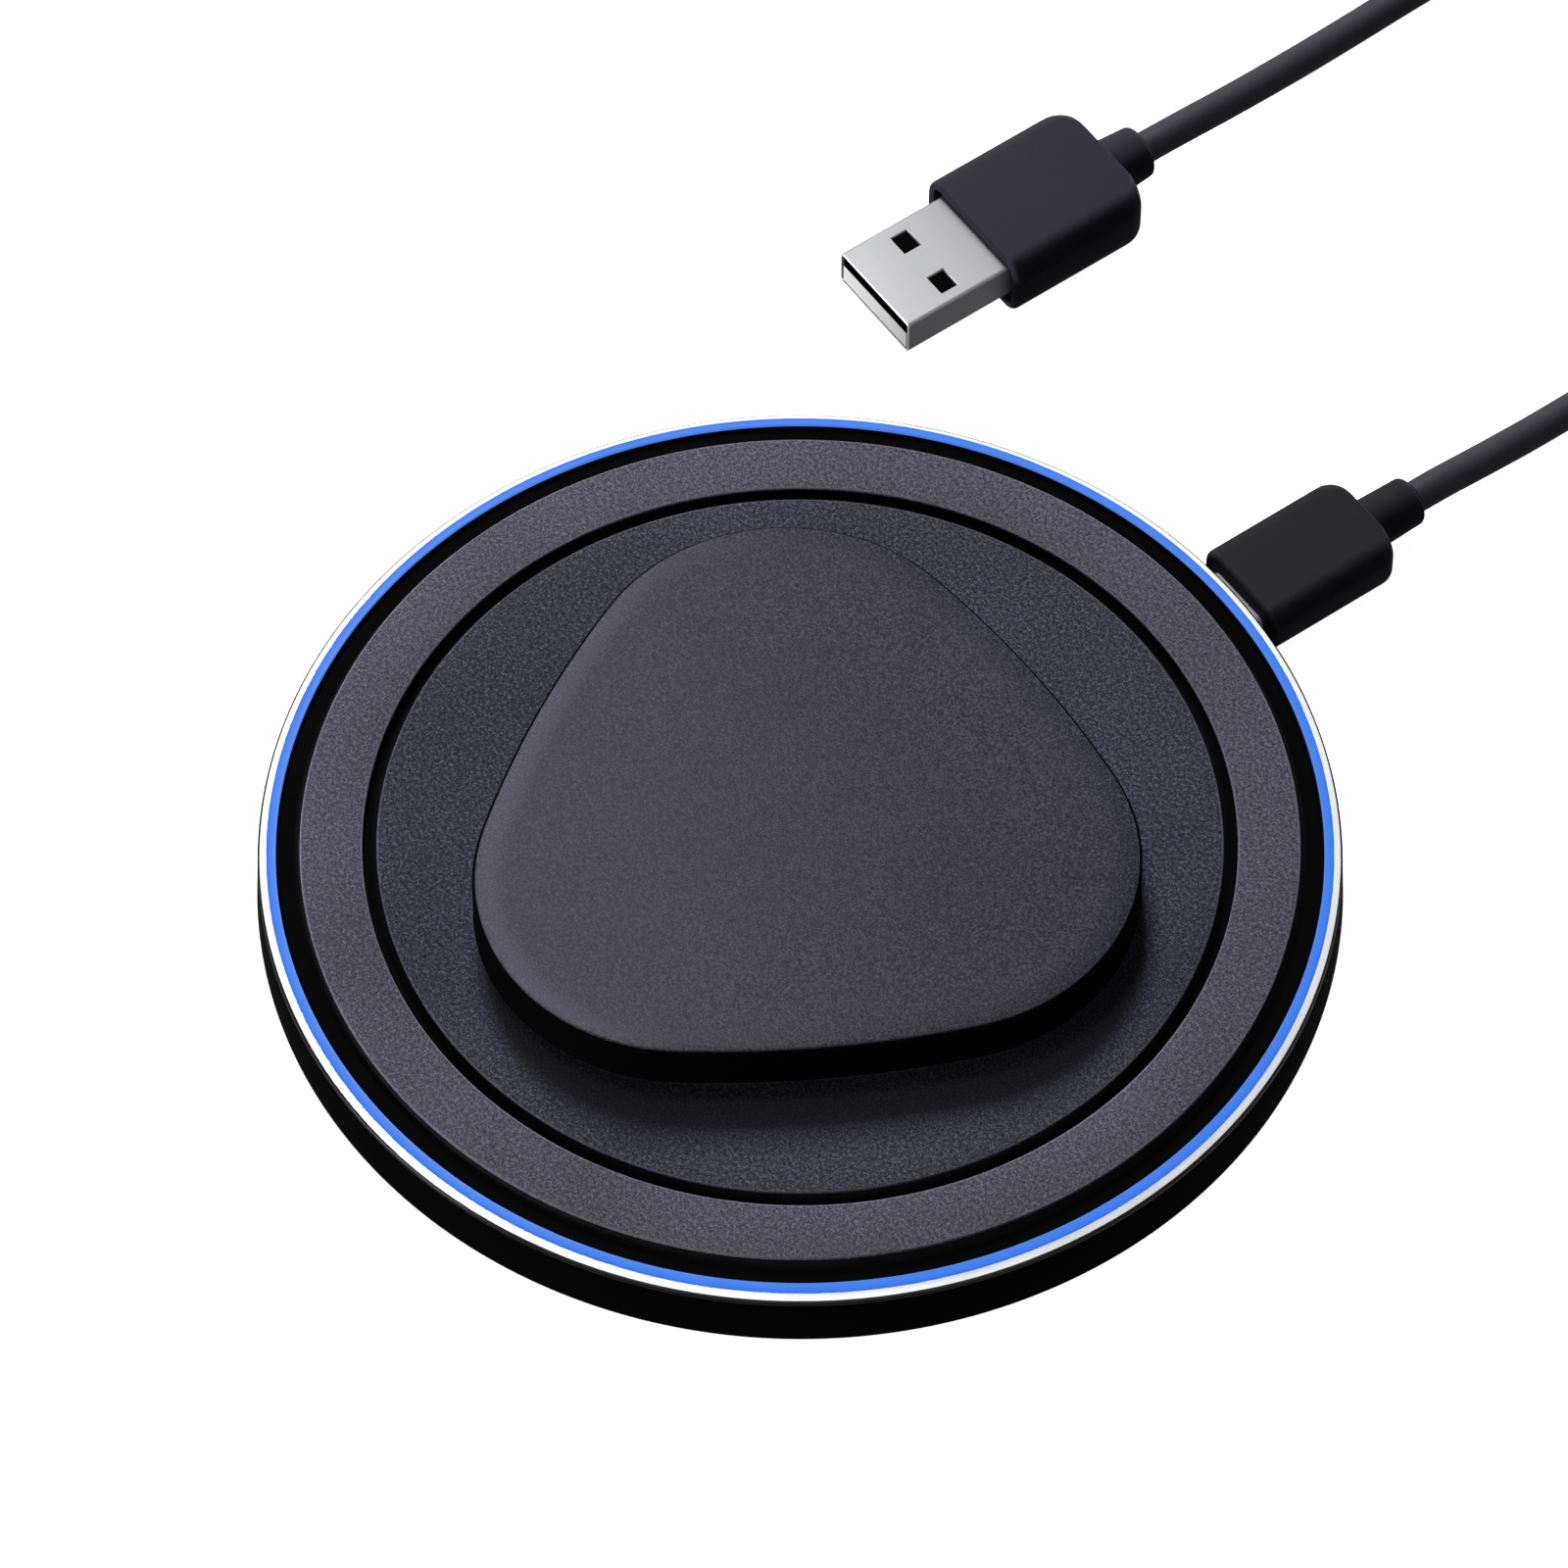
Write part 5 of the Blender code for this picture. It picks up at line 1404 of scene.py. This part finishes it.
@dataclass(frozen=True)
class UsbAPlug:
    """The large plug: shell with two windows above and below, tongue, contacts and overmould."""

    centre: Pair = (-53.2, 4.0)  # X and Z of its axis
    tip: float = 48.1  # where the shell starts along Y
    size: Pair = (12.0, 4.5)  # of the shell
    wall: float = 0.3
    window: Pair = (2.5, 2.0)  # width and length
    windows: tuple[Pair, ...] = ((-3.25, 6.4), (3.25, 6.4))  # offset from the axis and the tip
    bevel: float = 0.26  # how much wider a window is at its mouth
    tongue_top: float = 4.45
    tongue_gap: float = 0.04  # between the tongue and the shell
    contact_pitch: float = 2.3

    def window_cutter(self, offset: float, run: float, side: int) -> Mesh:
        """A bar with a flared mouth, which leaves a bevel round a window. The edge mark paints the
        bevel bright, which is a painted highlight.

        Args:
            offset: Across, from the axis.
            run: Along, from the tip.
            side: 1 for the upper sheet, -1 for the lower one.

        Returns:
            The cutter.
        """
        face = self.centre[1] + side * self.size[1] / 2
        x, y = self.centre[0] + offset, self.tip + run
        depth, grow = np.array([(-1.0, 0.0), (-0.16, 0.0), (0.05, self.bevel)]).T
        half_w, half_l = (self.window[0] + grow) / 2, (self.window[1] + grow) / 2
        sign = np.array([(1, 1), (-1, 1), (-1, -1), (1, -1)])
        flat_x = x + half_w[:, None] * sign[None, :, 0]
        flat_y = y + half_l[:, None] * sign[None, :, 1]
        flat = np.stack([flat_x, flat_y], axis=-1)
        return skin("window_cutter", with_height(flat, face + side * depth))

    def build_shell(self) -> Piece:
        """The folded steel shell, with windows and the line below where its sheet meets.

        Returns:
            The piece.
        """
        span = (self.tip, 63.8)
        sleeve = Sleeve("usb_a_sleeve", self.size, 0.42, self.wall, span, self.centre)
        places = [(*place, side) for place in self.windows for side in (1, -1)]
        cutters = [self.window_cutter(*place) for place in places]
        rows = [(y, 0.12, 0.3, 0.02, 0.02) for y in (self.tip - 1, 59.0)]
        low = self.centre[1] - self.size[1] / 2
        cutters.append(skin("seam_cutter", box_rings(rows, (self.centre[0], low), corner=3)))
        mesh = cut_with(sleeve.mesh(), cutters)
        return add_piece(mesh, PLUG_NICKEL, Body.CABLE, ["usb_a_shell"], 25)

    def build_tongue(self) -> list[Piece]:
        """The white tongue, a black sheet over its top and a black liner round it, and the four
        contacts. Both black parts are painted shade: they stand for the shadow on the tongue's top
        and inside the shell.

        Returns:
            The pieces.
        """
        x, tip, high = self.centre[0], self.tip, self.tongue_top
        low = self.centre[1] - self.size[1] / 2 + self.wall + self.tongue_gap
        inside, clear = (side - 2 * self.wall for side in self.size)
        width, height, start = inside - 0.2, high - low, tip + 0.02
        tongue = [
            (start, width - 0.2, height - 0.2, 0.06, 0.06), (start + 0.1, width, height, 0.1, 0.1),
            (63.6, width, height, 0.1, 0.1),
        ]
        # A black sheet over the tongue's top: painted shade, for the shadow that falls there
        # inside the shell.
        broad = width - 0.1
        shade_plate = [
            (tip + 0.08, broad, 0.04, 0.01, 0.01), (tip + 0.14, broad, 0.06, 0.01, 0.01),
            (63.5, broad, 0.06, 0.01, 0.01),
        ]
        bars = [
            ("usb_a_insulator", tongue, (x, (low + high) / 2), TONGUE_PBT, ["usb_a_tongue"]),
            ("usb_a_shade_plate", shade_plate, (x, high + 0.04), WALL_AND_SHADE_ABS, []),
        ]
        first = tip + 1.5
        finger = [
            (first, 0.9, 0.03, 0.01, 0.01), (first + 0.5, 1.1, 0.2, 0.06, 0.06),
            (first + 6.4, 1.1, 0.2, 0.06, 0.06), (first + 7.0, 1.0, 0.08, 0.03, 0.03),
        ]
        for number in range(1, 5):
            place = (x + (number - 2.5) * self.contact_pitch, high + 0.1)
            name, node = f"usb_a_finger_{number}", f"usb_a_contact_{number}"
            bars.append((name, finger, place, CONTACT_GOLD, [node]))
        # A black sleeve inside the shell: painted shade, so that the windows and the mouth look
        # dark.
        size, span = (inside - 0.02, clear - 0.02), (tip + 0.3, 63.4)
        liner = Sleeve("usb_a_shade_liner", size, 0.14, 0.05, span, self.centre)
        meshes = [
            (skin(name, box_rings(rows, place, corner=4)), finish, nodes)
            for name, rows, place, finish, nodes in bars
        ]
        meshes.insert(2, (liner.mesh(), WALL_AND_SHADE_ABS, []))
        return [add_piece(mesh, finish, Body.CABLE, nodes) for mesh, finish, nodes in meshes]

    def build(self) -> list[Piece]:
        """Makes the plug.

        Returns:
            The pieces that go with the cord.
        """
        grip = Grip(
            "usb_a_grip", "usb_a_overmold", OVERMOLD_GREY, self.centre,
            size=(16.0, 8.0), corner=(2.1, 2.9), span=(60.8, 78.4), front_edge=0.45,
            back_edge=(2.8, 0.8), pocket=(13.8, 6.3, 1.6), stub=(3.15, 2.95, 4.5),
        )
        return [self.build_shell(), *self.build_tongue(), grip.build()]


@dataclass(frozen=True)
class CableTie:
    """The tie round the coil's far side: a band and its locking head."""

    centre_x: float = -26.6  # middle of the band
    span: Pair = (178.45, 190.15)  # inside of the loop along Y
    height: Pair = (0.6, 8.0)  # inside of the loop along Z
    corner: float = 1.6  # of the loop
    thickness: float = 0.6
    width: float = 4.0
    head: Pair = (3.0, 4.0)  # depth and height of the head
    head_gap: float = 1.45  # from the band to the head's middle

    def build(self) -> list[Piece]:
        """Makes the band and the head.

        Returns:
            The pieces that go with the cord.
        """
        left, right = (self.centre_x + side * self.width / 2 for side in (-1, 1))
        thick = self.thickness
        section = [(left, 0.0, 0.1), (left, thick, 0.15), (right, thick, 0.15), (right, 0.0, 0.1)]
        place, depth = rounded(section).T
        middle = (sum(self.span) / 2, sum(self.height) / 2)
        loop_w, loop_h = (end - start + 2 * depth for start, end in (self.span, self.height))
        corner = self.corner + depth
        table = np.column_stack([place, loop_w, loop_h, corner, corner])
        band = skin("tie_band", box_rings(table, middle, Along.X, 10), closed_across=True)
        start, end = left - thick, right + thick
        ends = (start, 0.6), (end, 0.6)
        rows = rounded([(*ends[0], 0), (start, 0.0, 0.3), (end, 0.0, 0.3), (*ends[1], 0)], False)
        rows = np.vstack([ends[0], rows, ends[1]])
        size = np.array(self.head)[None] - 2 * rows[:, 1:]
        table = np.column_stack([rows[:, 0], size, np.full((len(rows), 2), 0.4)])
        place = (self.span[1] + thick + self.head_gap, middle[1])
        head = skin("tie_head", box_rings(table, place, Along.X, 6))
        return [add_piece(mesh, TIE_NYLON, Body.CABLE, ["cable_tie"]) for mesh in (band, head)]


@dataclass(frozen=True)
class CarriedOver:
    """The frame's own nodes that stay: everything inside, and the inner cover."""

    finishes: tuple[tuple[Finish, tuple[str, ...]], ...] = (  # by the start of a node's name
        (CASE_ABS, ("top_cover",)),
        (COIL_COPPER, ("charging_coil", "coil_lead")),
        (FERRITE_SINTERED, ("ferrite_disc", "power_inductor")),
        (NYLON_WHITE, ("coil_carrier",)),
        (BOARD_LAMINATE, ("circuit_board",)),
        (
            CHIP_EPOXY,
            ("controller_chip", "bridge_chip", "thermistor", "usb_c_receptacle_tongue"),
        ),
        (CAPACITOR_CERAMIC, ("resonant_capacitor",)),
        (LED_RESIN, ("led_",)),
        (SCREW_ZINC, ("screw_",)),
    )

    def dress(self, nodes: dict[str, Piece]) -> None:
        """Gives every node that still shows its finish.

        Args:
            nodes: The frame's nodes by name.
        """
        for name, node in nodes.items():
            if node.hide_render:
                continue
            finish = next(found for found, starts in self.finishes if name.startswith(starts))
            node.data.materials.clear()
            node.data.materials.append(finish.build())
            LOG.info("%s: carried over, %s", name, finish.name)


def main() -> None:
    """Builds the studio and the cord first, then the pad and the plugs."""
    logging.basicConfig(level=logging.INFO, format="%(message)s")
    Studio().build()
    line = Cord()
    cord = line.build()
    shell = Shell()
    shell.build()
    Rim().build(shell)
    plateau = Plateau()
    plateau.build()
    Deck().build(plateau)
    on_cord = [*UsbCPlug().build(), *UsbAPlug().build(), *CableTie().build()]
    CarriedOver().dress(frame["nodes"])


if __name__ == "__main__":
    main()
